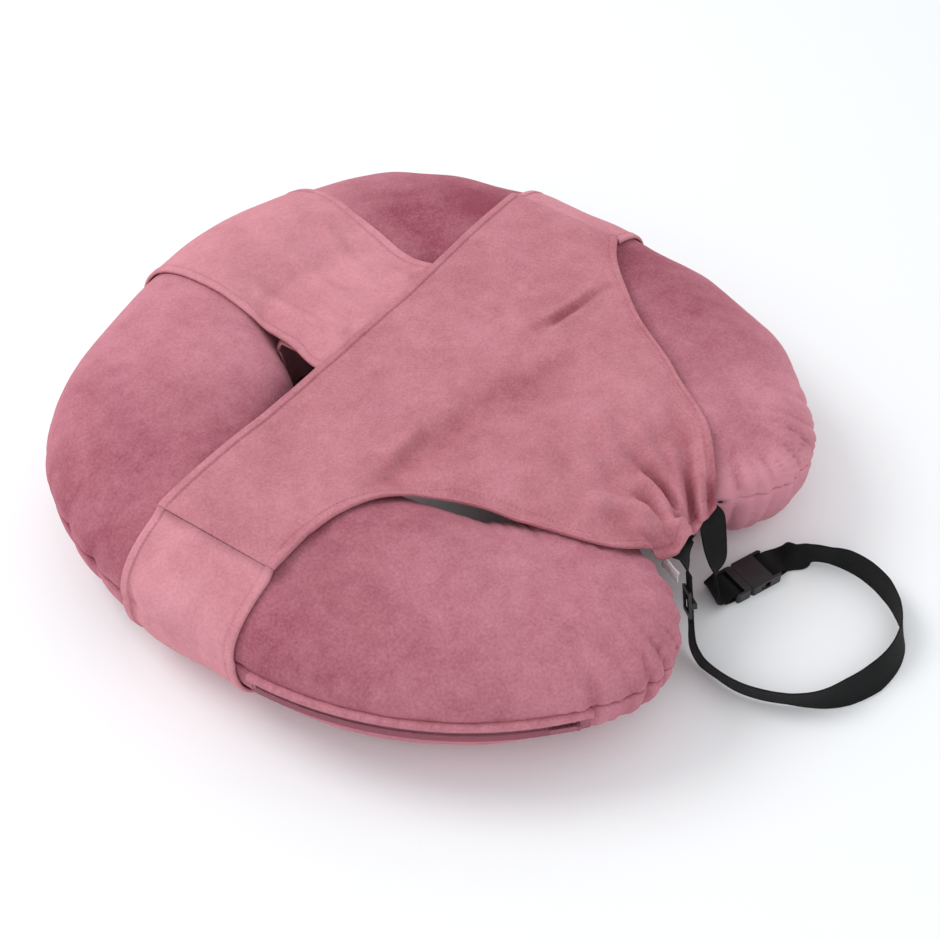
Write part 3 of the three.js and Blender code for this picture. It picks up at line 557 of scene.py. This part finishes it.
def inwards(grid, depth):
    """The same half of the cushion, that much further in."""
    normal = normals(grid)
    inside = grid - normal * outward_sign(grid, normal) * depth
    above = grid[..., 2] > SEAM_HEIGHT
    upper = np.maximum(inside[..., 2], SEAM_HEIGHT + SEAM_GAP)
    lower = np.minimum(inside[..., 2], SEAM_HEIGHT - SEAM_GAP)
    inside[..., 2] = np.where(above, upper, lower)
    return inside


def shell(name, grid, tint, node):
    piece = slab(name, grid, inwards(grid, 1.5), cover_cloth, tint=tint)
    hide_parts(node)


shell("cushion_top", top_grid, top_tint, "cover_top")
shell("cushion_bottom", bottom_grid, bottom_tint, "cover_bottom")
CORE = (slice(3, -3, 2), slice(None, None, 3))
for end, grid in (("top", top_grid), ("bottom", bottom_grid)):
    casing = slab(f"casing_{end}", inwards(grid, 4.6)[CORE], inwards(grid, 5.4)[CORE], cotton)
    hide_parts(f"inner_casing_{end}")
filling = slab("filling", inwards(top_grid, 6.6)[CORE], inwards(bottom_grid, 6.6)[CORE], fibre)
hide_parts("fibre_fill")
seams = [np.stack([top_grid[:, end], bottom_grid[:, end]], 1) for end in (0, -1)]
cushion = search_tree(top_grid, bottom_grid, *seams)
DOWN = Vector((0, 0, -1))


def cushion_top(x, y):
    """Height of the cushion under each place, or 0 where there is none."""
    flat = np.stack([np.ravel(x), np.ravel(y)], 1)
    heights = np.zeros(len(flat))
    for k, (px, py) in enumerate(flat):
        hit = cushion.ray_cast(Vector((px, py, 400)), DOWN)[0]
        if hit is not None:
            heights[k] = hit.z
    return heights.reshape(np.shape(x))


def arc_place(radius, degrees, z):
    angle = np.radians(180 + np.asarray(degrees, float))
    x = ARM_CENTRE[0] + radius * np.cos(angle)
    y = ARM_CENTRE[1] + radius * np.sin(angle)
    return np.stack([x, y, z + 0 * angle], -1)


# The top's hem, folded over the zip as a lip.
lip_degrees = np.linspace(ZIP_START, ZIP_END, 330)
lip_profile = [(-2.5, 70.9), (0.6, 71.6), (2.8, 71.5), (4.2, 70.3), (4.6, 68.3), (4.5, 66.4), (4.0, 65.6)]
lip_under = [(-2.5, 70.4), (0.6, 70.5), (2.2, 70.3), (3.1, 69.4), (3.4, 68.0), (3.4, 66.4), (3.6, 65.7)]
wave = 0.5 * np.sin(lip_degrees * 2.9) + 0.4 * np.sin(lip_degrees * 5.3 + 1)


def lip_grid(profile):
    rows = [
        arc_place(ARM_RADIUS + out + 0.25 * wave, lip_degrees, z + 0.5 * wave * (out > 0))
        for out, z in profile
    ]
    return np.stack(rows, 1)


lip_tint = np.full((len(lip_degrees), len(lip_profile)), 0.6)
lip = slab("zip_lip", lip_grid(lip_profile), lip_grid(lip_under), cover_cloth, tint=lip_tint)

# ---- seat panel ----

LEFT_FRONT = [
    (-205, WING_FRONT), (-171, -44), (-134, -62), (-104, -97), (-84, -160), (-62, -231), (-18, TAIL_END),
]
RIGHT_FRONT = [
    (44, TAIL_END), (92, -220), (127, -168), (161, -113), (190, -80), (218, -54), (WING_END, WING_FRONT),
]
front_edge = np.concatenate([[(-WING_END, WING_FRONT)], spline(LEFT_FRONT, 30), spline(RIGHT_FRONT, 30)])
COLUMNS = 300
column_shares = np.linspace(0, 1, COLUMNS)
front_line = resample(front_edge, column_shares)
back_x = np.interp(column_shares, [0, 1], [-WING_END, WING_END])
back_line = np.stack([back_x, np.full(COLUMNS, float(PANEL_BACK))], 1)
spans = np.linalg.norm(front_line - back_line, axis=1)
EDGE = np.array([0, 0.4, 1, 1.8, 3, 4.5, 5.8, 6.6, 7.2, 7.7, 8.3, 9.2, 10.5])
between = np.linspace(0, 1, 132)[1:-1]
row_share = np.concatenate([
    EDGE[None, :] / spans[:, None],
    (EDGE[-1] + between[None, :] * (spans[:, None] - 2 * EDGE[-1])) / spans[:, None],
    1 - EDGE[None, ::-1] / spans[:, None],
], 1).T
panel_plan = lerp(back_line[None], front_line[None], row_share[..., None])
panel_x, panel_y = panel_plan[..., 0], panel_plan[..., 1]
GATHER = (12, -268)
STITCH_LINE = 7.9  # from a hem's edge to its stitches
OFF_CUSHION = 1.7  # from the cushion to the face of a sheet that lies on it


def hem(distance):
    """Height of a folded and stitched hem above the plain cloth, by distance from the edge."""
    fold = smooth(distance, -0.6, 1.6) - smooth(distance, 7.0, 8.8)
    return fold - 0.55 * bell(distance - STITCH_LINE, 0.8) - 0.7 * (1 - smooth(distance, -0.2, 1.2))


def stitch_shade(distance):
    return 0.10 * bell(distance - STITCH_LINE, 1.2)


# Ridges (positive) and valleys drawn from the gather: a line in plan, its height and its half width.
FOLDS = [
    ([(99, -176), (60, -222), (34, -240), (8, -256)], -9.5, 5.5),
    ([(86, -170), (52, -212), (28, -233), (4, -253)], 5.5, 8),
    ([(74, -214), (54, -236), (31, -256)], 6.5, 7),
    ([(80, -228), (52, -247), (32, -260)], -8.0, 4.5),
    ([(24, -192), (18, -220), (5, -247)], -9.0, 5),
    ([(12, -196), (7, -224), (-3, -250)], 5.5, 7),
    ([(-2, -204), (-8, -230), (-12, -252)], -6.0, 5),
    ([(-56, -160), (-36, -194), (-20, -217), (-8, -252)], 5.0, 11),
    ([(-66, -196), (-46, -224), (-26, -254)], -4.5, 7),
    ([(10, -60), (-56, -52), (-120, -46)], -2.8, 9),
]


def panel_free(x, y):
    """Height of the panel where nothing is under it, and the folds that stand on that."""
    spot = np.stack([x, y, 0 * x], -1)
    out = np.clip((WING_FRONT - y) / (WING_FRONT - TAIL_END), 0, 1.05)
    height = lerp(PANEL_HEIGHT, TAIL_HEIGHT, out**3)
    radius = np.hypot(x - GATHER[0], y - GATHER[1])
    angle = np.arctan2(x - GATHER[0], y - GATHER[1])
    swirl = angle + 0.12 * np.sin(radius / 31 + 1) + 0.05 * np.sin(radius / 12)
    rays = 0.6 * np.sin(8 * swirl + 0.4) + 0.5 * np.sin(13 * swirl + 2.1) + 0.35 * np.sin(22 * swirl + 0.9)
    spread = np.exp(-radius / 85) * (1 - np.exp(-radius / 16))
    folds = 5.5 * rays * spread
    for line, depth, half_width in FOLDS:
        distance, along = line_distance(x, y, line)
        folds += depth * bell(distance, half_width) * smooth(along, 0.0, 0.35)
    folds += 2.4 * ripple(spot, 34, 41) * bell(radius - 70, 55)
    dip, _ = line_distance(x, y, [(-112, -46), (-25, -72), (55, -100)])
    folds -= 5.0 * bell(dip, 30)
    crease, along = line_distance(x, y, [(96, -52), (140, -60), (184, -66)])
    held = smooth(along, 0.0, 0.3) * (1 - smooth(along, 0.75, 1.0))
    folds -= 3.4 * bell(crease, 3.2) * held
    folds += 2.2 * bell(crease - 7, 5) * held
    folds += 0.9 * ripple(spot, 120, 42) + 0.3 * ripple(spot, 45, 43)
    pads = smooth(np.abs(x), 52, 62) * (1 - smooth(np.abs(x), 97, 108))
    pads = pads * smooth(y, -46, -35) * (1 - smooth(y, 44, 55))
    folds = np.where(folds < 0, folds * (1 - pads), folds)
    return height + 0.4 * pads, folds


def spanned(heights, reach):
    """Heights of cloth that spans the small hollows of what it lies on, and is nowhere under it."""
    for pick in (np.max, np.mean):
        for axis in (0, 1):
            margins = [(reach, reach) if axis == k else (0, 0) for k in (0, 1)]
            padded = np.pad(heights, margins, mode="edge")
            windows = np.lib.stride_tricks.sliding_window_view(padded, 2 * reach + 1, axis)
            heights = pick(windows, axis=-1)
    return heights


panel_height, panel_folds = panel_free(panel_x, panel_y)
rest_height = spanned(cushion_top(panel_x, panel_y) + OFF_CUSHION, 5)
over_cushion = smooth(rest_height - panel_height, -6, 6)
back_distance = row_share * spans[None, :]
front_distance = (1 - row_share) * spans[None, :]
open_side = smooth(panel_y, -225, -170) * (1 - smooth(panel_x, -40, 60))
edge_sag = 11 * bell(front_distance, 38) * open_side * (1 - smooth(panel_y, -50, -36))
hanging = panel_height - edge_sag + panel_folds * (1.2 - 0.75 * over_cushion)
over_belt = BELT_END + 1.6 * smooth(-panel_y, 222, 238) - 30 * (1 - smooth(-panel_y, 210, 236))
panel_low = np.maximum(higher(hanging, rest_height, 5), over_belt)
edge_distance = np.minimum(back_distance, front_distance)
side_distance = np.minimum(panel_x + WING_END, WING_END - panel_x)
panel_rim = hem(edge_distance) * smooth(side_distance, 0, 4) - 1.3 * bell(side_distance, 2.2)
panel_back_grid = np.stack([panel_x, panel_y, panel_low], 2)
panel_front_grid = np.stack([panel_x, panel_y, panel_low + CLOTH + panel_rim], 2)
gather_distance = np.hypot(panel_x - GATHER[0], panel_y - GATHER[1])
# Painted shade and light: darker in fold valleys and lighter on fold ridges near the gather, and darker in a
# ring round it.
panel_tint = 0.53 + 0.048 * np.clip(panel_folds, -9, 5) * np.exp(-gather_distance / 130)
panel_tint = panel_tint - 0.14 * bell(gather_distance - 50, 42)
# Painted shade along the crease and along the shallow dip across the panel.
crease_distance, _ = line_distance(panel_x, panel_y, [(98, -46), (143, -59), (180, -67)])
dip_shade_distance, _ = line_distance(panel_x, panel_y, [(-112, -48), (-56, -54), (13, -66), (83, -90)])
panel_tint = panel_tint - 0.26 * bell(crease_distance, 5) - 0.16 * bell(dip_shade_distance, 13)
panel_tint = panel_tint - stitch_shade(edge_distance) + 0.04 * ripple(panel_front_grid, 60, 44)
panel = slab("seat_panel_cloth", panel_front_grid, panel_back_grid, panel_cloth, tint=panel_tint)
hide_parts("seat_panel")
panel_tree = search_tree(panel_front_grid)

# ---- bands ----

HUG_HEIGHT = SEAM_HEIGHT - 1.3
TAB_TOP = PANEL_HEIGHT - 0.9 - 2.4
ARM_SPINE, BACK_SPINE = 199, 229


def hug(centre, sideways, degrees, off=OFF_CUSHION):
    """The points of a band's two faces at an angle round the cushion's section."""
    angle = math.radians(degrees)
    direction = np.array([sideways[0] * math.cos(angle), sideways[1] * math.cos(angle), math.sin(angle)])
    start = centre + direction * 180
    hit = cushion.ray_cast(Vector(start), Vector(-direction))[0]
    reach = np.linalg.norm(np.array(hit) - centre) + off
    inner, outer = centre + direction * reach, centre + direction * (reach + CLOTH)
    inner[2] = max(inner[2], CLOTH)
    outer[2] = max(outer[2], 0.02)
    return inner, outer


def band(name, inner, outer, node, seed):
    """A wrapped band with a hem along both edges. Rows run across it and columns along it."""
    across = along_lengths(outer, 0)
    distance = np.minimum(across, across[-1:] - across)
    face = outer - inner
    face /= np.maximum(np.linalg.norm(face, axis=2, keepdims=True), 1e-6)
    lift = np.where(outer[..., 2] < 3, 0, hem(distance))
    raised = outer + face * lift[..., None]
    raised[..., 2] = np.maximum(raised[..., 2], 0.02)
    tint = 0.72 - stitch_shade(distance) + 0.05 * ripple(outer, 55, seed)
    piece = slab(name, raised, inner, panel_cloth, tint=tint)
    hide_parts(node)
    return raised


ACROSS = np.concatenate([EDGE, np.linspace(12, 104, 34), 116 - EDGE[::-1]]) / 116


def wing_band(side, name):
    """From the panel's end, out and down round the arm, and up the inner wall to the pads under the panel."""
    sideways = np.array([side, 0.0])
    edge_x = side * (WING_END + 0.3)
    start = 90 - math.degrees(math.atan2(WING_END + 0.3 - ARM_SPINE, 47))
    inner_rows, outer_rows = [], []
    for y in lerp(WING_FRONT, PANEL_BACK, ACROSS):
        centre = np.array([side * ARM_SPINE, y, HUG_HEIGHT])
        pairs = [hug(centre, sideways, d) for d in np.linspace(start - 0.6, -206, 120)]
        resting = cushion_top(np.array([edge_x]), np.array([y]))[0] + OFF_CUSHION
        edge_height = float(higher(PANEL_HEIGHT, resting, 5))
        edge = ((edge_x, y, edge_height), (edge_x, y, edge_height + CLOTH - 1.2))
        tab = [
            ((side * 101.5, y, 112), (side * 99.4, y, 112)),
            ((side * 95, y, TAB_TOP), (side * 95, y, TAB_TOP - CLOTH)),
            ((side * 64, y, TAB_TOP), (side * 64, y, TAB_TOP - CLOTH)),
        ]
        line = [edge, *pairs, *tab]
        inner_rows.append([p for p, _ in line])
        outer_rows.append([q for _, q in line])
    inner, outer = np.array(inner_rows), np.array(outer_rows)
    return band(f"{name}_cloth", inner, outer, name, 51 + side)


wing_left = wing_band(-1, "wing_band_left")
wing_right = wing_band(1, "wing_band_right")


# Ridges of the back band that draw together where it goes under the panel, each with a height and half width.
BAND_RIDGES = [
    ([(-12, 250), (-4, 180), (-4, 129), (0, 92)], 4.6, 7),
    ([(66, 262), (54, 204), (42, 149), (30, 105)], 4.2, 8),
    ([(-30, 190), (-34, 140), (-30, 104)], 3.6, 6),
    ([(104, 230), (92, 170), (80, 120)], 2.2, 9),
    ([(22, 240), (24, 180), (18, 130), (12, 94)], 2.6, 5),
]


def band_ridges(x, y):
    lift = np.zeros(np.shape(x))
    for line, height, half_width in BAND_RIDGES:
        distance, along = line_distance(x, y, line)
        lift = lift + height * bell(distance, half_width) * smooth(along, 0.0, 0.45)
    return lift


def back_line_points(share):
    """Both faces of the back band along one line of it, from under the panel round the cushion and back."""

    def over(y):
        left = -36 - 13 * bell(y - 80, 24)
        return lerp(lerp(left, 120, share), lerp(-30, 146, share), smooth(y, 90, 290))

    tab_x = lerp(-34, 82, share)
    sewn = PANEL_HEIGHT - 0.3 - CLOTH
    ys = np.linspace(48, 176, 60)
    xs = over(ys)
    free = lerp(sewn, 119.5, smooth(ys, 82, 104))
    pull = bell(ys - 92, 34)
    spot = np.stack([xs, ys * 0.25, 0 * xs], 1)
    wrinkle = 1.2 * np.sin(share * 21 + ys / 38 + 0.5) + np.sin(share * 37 - ys / 26)
    wrinkle = wrinkle + ripple(spot, 17, 61) + band_ridges(xs, ys)
    cushion_height = cushion_top(xs, ys) + OFF_CUSHION
    heights = higher(free, cushion_height, 4)
    heights = heights + np.clip(wrinkle, -1.5, 9) * pull * smooth(ys, 79, 88)
    rest = np.clip(wrinkle, -0.2, 5) * bell(ys - 150, 60) * smooth(ys, 104, 140)
    inner = np.stack([xs, ys, np.maximum(heights + rest, cushion_height)], 1)
    inner[:, 2] = np.where(ys < 80, sewn, inner[:, 2])
    pairs = [(p, p + np.array([0, 0, CLOTH])) for p in inner]
    spine_y = math.sqrt(BACK_SPINE**2 - float(over(np.array(190.0))) ** 2)
    first = max(68, math.degrees(math.acos(min(1, (spine_y - 181) / 72))))
    for degrees in np.linspace(first, 380, 130):
        y = spine_y - math.cos(math.radians(degrees)) * 72
        x = lerp(float(over(np.array(y))), tab_x, float(smooth(degrees, 180, 340)))
        centre = np.array([x, math.sqrt(BACK_SPINE**2 - x**2), HUG_HEIGHT])
        fade = 0.8 * float(bell(degrees - 70, 40))
        lift = float(band_ridges(np.array(x), np.array(y))) * (degrees < 110)
        off = OFF_CUSHION + fade * (1 + math.sin(share * 30 + degrees / 25)) + 0.6 * lift
        pairs.append(hug(centre, np.array([0.0, -1.0]), degrees, off))
    swollen = 2 * float(swell(np.sign(tab_x), abs(math.degrees(math.asin(tab_x / 152)))))
    wall = [math.sqrt((r - swollen) ** 2 - tab_x**2) for r in (152, 149, 144)]
    hook_top = 119.5 - 0.9 - 2.4
    pairs.append(((tab_x, wall[0], 103), (tab_x, wall[1], 103)))
    for y in (wall[2], 100):
        pairs.append(((tab_x, y, hook_top), (tab_x, y, hook_top - CLOTH)))
    return pairs


BAND_ACROSS = np.concatenate([EDGE, np.linspace(12.5, 143.5, 44), 156 - EDGE[::-1]]) / 156
back_pairs = [back_line_points(share) for share in BAND_ACROSS]
back_inner = np.array([[p for p, _ in row] for row in back_pairs])
back_outer = np.array([[q for _, q in row] for row in back_pairs])
back_raised = band("back_band_cloth", back_inner, back_outer, "back_band", 53)

# ---- stitches ----


def stitches(name, line, ups, pitch=3.4, length=2.5, width=0.55):
    """A row of short thread stitches that lie along a line on the cloth."""
    along = travelled(line)
    points, faces = [], []
    for station in np.arange(pitch, along[-1] - pitch, pitch):
        start, end = between_rows([station - length / 2, station + length / 2], along, line)
        up = between_rows(station, along, ups)
        side = np.cross(up, end - start)
        side *= width / 2 / np.linalg.norm(side)
        middle = (start + end) / 2
        base = len(points)
        points += [start - up * 0.2, middle + side, end - up * 0.2, middle - side]
        points += [middle + up * 0.45, middle - up * 0.3]
        for a, b in ((0, 1), (1, 2), (2, 3), (3, 0)):
            faces.append((base + b, base + a, base + 4))
            faces.append((base + a, base + b, base + 5))
    uv = np.array(points)[:, :2]
    piece = add_piece(name, points, faces, thread, uv=uv)
    return piece


def on_panel(plan):
    """The panel's upper face above each place of a line."""
    out = []
    for x, y in plan:
        hit = panel_tree.ray_cast(Vector((x, y, 400)), DOWN)[0]
        if hit is not None:
            out.append(np.array(hit))
    return np.array(out)


def inset_line(line, distance):
    step = np.gradient(line, axis=0)
    step /= np.linalg.norm(step, axis=1, keepdims=True)
    return line + np.stack([-step[:, 1], step[:, 0]], 1) * distance


UP = np.array([0.0, 0.0, 1.0])
front_seam = on_panel(inset_line(resample(front_edge, np.linspace(0.02, 0.98, 320)), STITCH_LINE))
back_seam = on_panel(np.stack([np.linspace(-243, 243, 200), np.full(200, PANEL_BACK - STITCH_LINE)], 1))
front_thread = stitches("panel_front_stitches", front_seam, np.tile(UP, (len(front_seam), 1)))
back_thread = stitches("panel_back_stitches", back_seam, np.tile(UP, (len(back_seam), 1)))


def band_stitches(name, raised, columns):
    """Stitches along both hems of a band, over the part of it that shows."""
    across = along_lengths(raised, 0)
    for end, flip in (("front", False), ("back", True)):
        distance = across[-1:] - across if flip else across
        line = []
        for j in columns:
            order = np.argsort(distance[:, j])
            line.append([np.interp(STITCH_LINE, distance[order, j], raised[order, j, k]) for k in range(3)])
        line = np.array(line)
        normal = normals(raised)
        middle = raised.shape[0] // 2
        ups = normal[middle, columns]
        away = raised[middle, columns] - raised[middle, columns].mean(0)
        ups = ups * np.sign((ups * away).sum(1, keepdims=True) + 1e-9)
        stitches(f"{name}_{end}_stitches", line, ups)


band_stitches("wing_left", wing_left, np.arange(1, 62))
band_stitches("wing_right", wing_right, np.arange(1, 62))
band_stitches("back_band", back_raised, np.arange(26, 110))

# ---- small cloth pieces ----


def small_cloth(name, x0, x1, y0, y1, z0, z1, material, node):
    """A small patch with a soft rim and a slightly uneven face."""
    xs, ys = np.linspace(x0, x1, 40), np.linspace(y0, y1, 40)
    x, y = np.meshgrid(xs, ys)
    rim = smooth(np.minimum(np.minimum(x - x0, x1 - x), np.minimum(y - y0, y1 - y)), 0, 1.5)
    spot = np.stack([x, y, 0 * x], 2)
    middle = (z0 + z1) / 2
    face = lerp(middle, z1, rim) + 0.15 * ripple(spot, 6, 71) * rim
    under = lerp(middle, z0, rim) - 0.01
    front = np.stack([x, y, np.minimum(face, z1)], 2)
    piece = slab(name, front, np.stack([x, y, under], 2), material, tint=0.55 + 0 * x)
    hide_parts(node)


small_cloth("tail_patch_cloth", 3, 38, -248, -234, 73.65, 75.15, panel_cloth, "tail_patch")
PAD = 1.2  # thickness of a hook or loop pad
for side, low, high in (("left", -93, -66), ("right", 66, 93)):
    for kind, z in (("hook", 123.0), ("loop", 124.5)):
        node = f"wing_{kind}_pad_{side}"
        small_cloth(f"{kind}_{side}", low, high, -30, 40, z, z + PAD, hook_tape, node)
for kind, z in (("hook", 116.5), ("loop", 118.0)):
    small_cloth(f"{kind}_back", -28, 76, 102, 116, z, z + PAD, hook_tape, f"back_{kind}_pad")

label_u, label_v = np.meshgrid(np.linspace(-10, 10, 30), np.linspace(-6, 6, 20))
label_turn = math.atan2(0.849, 0.528)
curl = 1.6 * (label_u / 10) ** 2 * np.sign(label_u) - 0.8 * (label_v / 6) ** 2


def label_face(offset):
    x = label_u * math.cos(label_turn) - (curl + offset) * math.sin(label_turn) - 30
    y = label_u * math.sin(label_turn) + (curl + offset) * math.cos(label_turn) - 259
    return np.stack([x, y, 71 + label_v], 2)


label = slab("label_cloth", label_face(0.3), label_face(-0.3), label_cloth)
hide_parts("care_label")

# ---- zip ----

ZIP_MIDDLE, ZIP_RADIUS = 59.5, ARM_RADIUS + 0.6


def zip_coil(name, low, high, node):
    """A row of coil elements, each a rounded block, in a chain."""
    points, faces = [], []
    for degrees in np.arange(4.3, 50.5, 0.27):
        base = len(points)
        for out, half in ((-0.95, 0.045), (-0.7, 0.085), (0.7, 0.085), (0.95, 0.045)):
            for angle, z in ((-half, low), (half, low), (half, high), (-half, high)):
                points.append(arc_place(ZIP_RADIUS + out, degrees + angle, z))
        for ring in range(3):
            a = base + 4 * ring
            for k in range(4):
                faces.append((a + k, a + (k + 1) % 4, a + 4 + (k + 1) % 4, a + 4 + k))
        faces.append((base + 3, base + 2, base + 1, base))
        faces.append((base + 12, base + 13, base + 14, base + 15))
    piece = add_piece(name, points, faces, zip_plastic)
    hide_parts(node)


zip_coil("zip_coil_upper", ZIP_MIDDLE + 0.8, ZIP_MIDDLE + 2.8, "zip_chain_upper")
zip_coil("zip_coil_lower", ZIP_MIDDLE - 2.8, ZIP_MIDDLE - 0.8, "zip_chain_lower")

# ---- belt ----

WEB_WIDTH, WEB_THICKNESS = 25, 1.5
WEB_ACROSS = np.array([-1, -0.985, -0.93, -0.86, -0.8, -0.4, 0, 0.4, 0.8, 0.86, 0.93, 0.985, 1])
WEB_PROFILE = np.array([0.25, 0.75, 1, 0.95, 0.78, 0.8, 0.8, 0.8, 0.78, 0.95, 1, 0.75, 0.25])
buckle_turn = math.atan2(-0.37, 0.93)
BUCKLE = np.array([54, -292.5, 0])
SOCKET_END = 24


def at_buckle(x, y, z):
    c, s = math.cos(buckle_turn), math.sin(buckle_turn)
    return (BUCKLE + np.array([x * c - y * s, x * s + y * c, z])).tolist()


FLAT = [-math.sin(buckle_turn), math.cos(buckle_turn), 0]
OVER_BAR = [(10, 5.6), (2, 7.9), (-2.4, 8.2), (-6.5, 6.2)]
UNDER_BAR = [(-6.5, 6.2), (-6.5, 3.2), (-2.4, 1.4), (3, 1.5), (10, 3)]


def bar_loop(sign, profile):
    """The webbing over or under the bar at one end of the buckle."""
    return [(at_buckle(sign * (SOCKET_END + out), 0, z), FLAT) for out, z in profile]


def ribbon_grids(route, steps=14):
    """Both faces of a webbing ribbon along a route of (middle, direction across)."""
    line = spline([p for p, _ in route], steps)
    along = np.gradient(line, axis=0)
    along /= np.linalg.norm(along, axis=1, keepdims=True)
    wides = np.array([w for _, w in route], float)
    wide = between_rows(np.arange(len(line)) / steps, np.arange(len(wides)), wides)
    wide -= along * (wide * along).sum(1, keepdims=True)
    wide /= np.linalg.norm(wide, axis=1, keepdims=True)
    thick = np.cross(along, wide)
    half = WEB_WIDTH / 2
    lowest = 0.3 + np.abs(wide[:, 2]) * half + np.abs(thick[:, 2]) * WEB_THICKNESS / 2
    line[:, 2] = np.maximum(line[:, 2], lowest)
    middle = line[:, None] + wide[:, None] * (WEB_ACROSS * half)[None, :, None]
    offset = thick[:, None] * (WEB_PROFILE * WEB_THICKNESS / 2)[None, :, None]
    return middle + offset, middle - offset, line


SEWN = (0.9, -0.43, 0)
short_route = [
    ((40, -242, BELT_END), SEWN), ((38, -249, BELT_END), SEWN), ((35.5, -256.5, BELT_END - 0.3), SEWN),
    ((34.5, -260.5, 73), SEWN), ((34, -263.5, 63), SEWN),
    ((32, -268, 49), (0.94, -0.3, 0)), ((26, -275.5, 34), (0.99, 0.1, 0)),
    ((19, -277.5, 23), (0.85, 0.5, 0.1)), ((14.5, -278, 14), (0.6, 0.8, 0.1)),
]
front, back, _ = ribbon_grids([*short_route, *bar_loop(-1, OVER_BAR)])
belt_short = slab("belt_short_web", front, back, web)
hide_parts("belt_short")
front, back, _ = ribbon_grids(bar_loop(-1, UNDER_BAR))
short_fold = slab("belt_short_fold", front, back, web)

adjuster = np.array([-27, -278.5, 43])
run = np.array([0.42, 0.38, 0.82])
run /= np.linalg.norm(run)
run_points = [((adjuster + run * a).tolist(), (-0.6, -0.45, 0.65)) for a in (-22, -20, 20, 22)]
long_route = [
    ((92, -318, 9), (-0.1, 0.75, 0.65)), ((101, -326, 12.6), (-0.3, 0.3, 0.9)),
    ((108, -341, 12.9), (-0.2, 0.08, 0.97)), ((111.5, -356, 12.9), (0, 0.15, 0.98)),
    ((109.5, -375, 12.9), (0.1, 0.1, 0.98)), ((101, -395, 12.9), (0.1, 0, 0.98)),
    ((87, -412, 12.9), (-0.16, -0.1, 0.97)), ((72, -423, 12.5), (-0.4, -0.02, 0.9)),
    ((57, -429, 12), (-0.44, 0.24, 0.86)), ((38, -431, 11.3), (-0.36, 0.45, 0.8)),
    ((14, -427, 10.2), (-0.26, 0.64, 0.7)), ((-12, -416, 10.8), (-0.26, 0.55, 0.78)),
    ((-31, -402, 12.3), (-0.3, 0.3, 0.9)), ((-46, -381, 12.9), (-0.36, 0, 0.93)),
    ((-55, -360, 12.9), (-0.33, -0.05, 0.94)), ((-58.5, -341, 12.9), (-0.33, -0.1, 0.94)),
    ((-56.5, -322, 12.7), (-0.38, -0.2, 0.9)), ((-51.5, -305, 12.7), (-0.36, -0.35, 0.87)),
    ((-44.5, -294, 16), (-0.45, -0.42, 0.78)), *run_points, ((-12, -262, 70), (-0.45, 0.3, 0.8)),
    ((-8, -254, BELT_END - 0.6), (-0.3, 0.9, 0.1)), ((0, -247.5, BELT_END), (0, 1, 0)),
    ((10, -246.5, BELT_END), (0, 1, 0)),
]
front, back, long_line = ribbon_grids([*bar_loop(1, OVER_BAR)[::-1], *long_route])
belt_long = slab("belt_long_web", front, back, web, body=None)
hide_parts("belt_long")
front, back, _ = ribbon_grids(bar_loop(1, UNDER_BAR))
long_fold = slab("belt_long_fold", front, back, web, body="buckle_socket")

# ---- carried-over CAD pieces ----

CARRIED = [
    ("zip_tape_upper", zip_tape, 0), ("zip_tape_lower", zip_tape, 0), ("zip_bottom_stop", zip_plastic, 0),
    ("zip_top_stop_upper", zip_plastic, 0), ("zip_top_stop_lower", zip_plastic, 0),
    ("zip_slider", zip_metal, 0.2), ("zip_pull", zip_metal, 0.3),
    ("buckle_socket", black_plastic, 0.7), ("buckle_prong_body", black_plastic, 0.7),
    ("buckle_prong_left", black_plastic, 0.4), ("buckle_prong_right", black_plastic, 0.4),
    ("slide_adjuster", black_plastic, 0.45),
]
for node, material, bevel_width in CARRIED:
    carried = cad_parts[node]
    carried.data.materials.clear()
    carried.data.materials.append(material)
    if bevel_width:
        bevel = carried.modifiers.new("edges", "BEVEL")
        bevel.width = bevel_width * 0.001
        bevel.segments = 3
        bevel.limit_method = "ANGLE"
        bevel.angle_limit = math.radians(35)

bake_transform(belt_long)

# ---- floor and light ----

floor_mesh = bpy.data.meshes.new("floor")
floor_mesh.from_pydata([(-6, -6, 0), (6, -6, 0), (6, 6, 0), (-6, 6, 0)], [], [(0, 1, 2, 3)])
floor = bpy.data.objects.new("floor", floor_mesh)
floor.location.z = -0.0004
scene.collection.objects.link(floor)
paper, _, _, shader = new_material("paper")
shader.inputs["Base Color"].default_value = (0.925, 0.935, 0.945, 1)
shader.inputs["Roughness"].default_value = 0.9
shader.inputs["Specular IOR Level"].default_value = 0.1
floor_mesh.materials.append(paper)

world = bpy.data.worlds.new("studio")
scene.world = world
world.use_nodes = True
background = world.node_tree.nodes["Background"]
background.inputs["Color"].default_value = (0.96, 0.98, 1.0, 1)
background.inputs["Strength"].default_value = 0.85


def softbox(name, location, target, size, energy):
    light = bpy.data.lights.new(name, "AREA")
    light.shape = "DISK"
    light.size = size
    light.energy = energy
    lamp = bpy.data.objects.new(name, light)
    lamp.location = location
    lamp.rotation_euler = (Vector(target) - Vector(location)).to_track_quat("-Z", "Y").to_euler()
    scene.collection.objects.link(lamp)


softbox("key", (-0.6, 1.9, 2.3), (0, 0, 0), 1.6, 34)
softbox("fill", (-2.2, -1.2, 2.0), (0, 0, 0), 2.4, 9)

scene.view_settings.view_transform = "Standard"
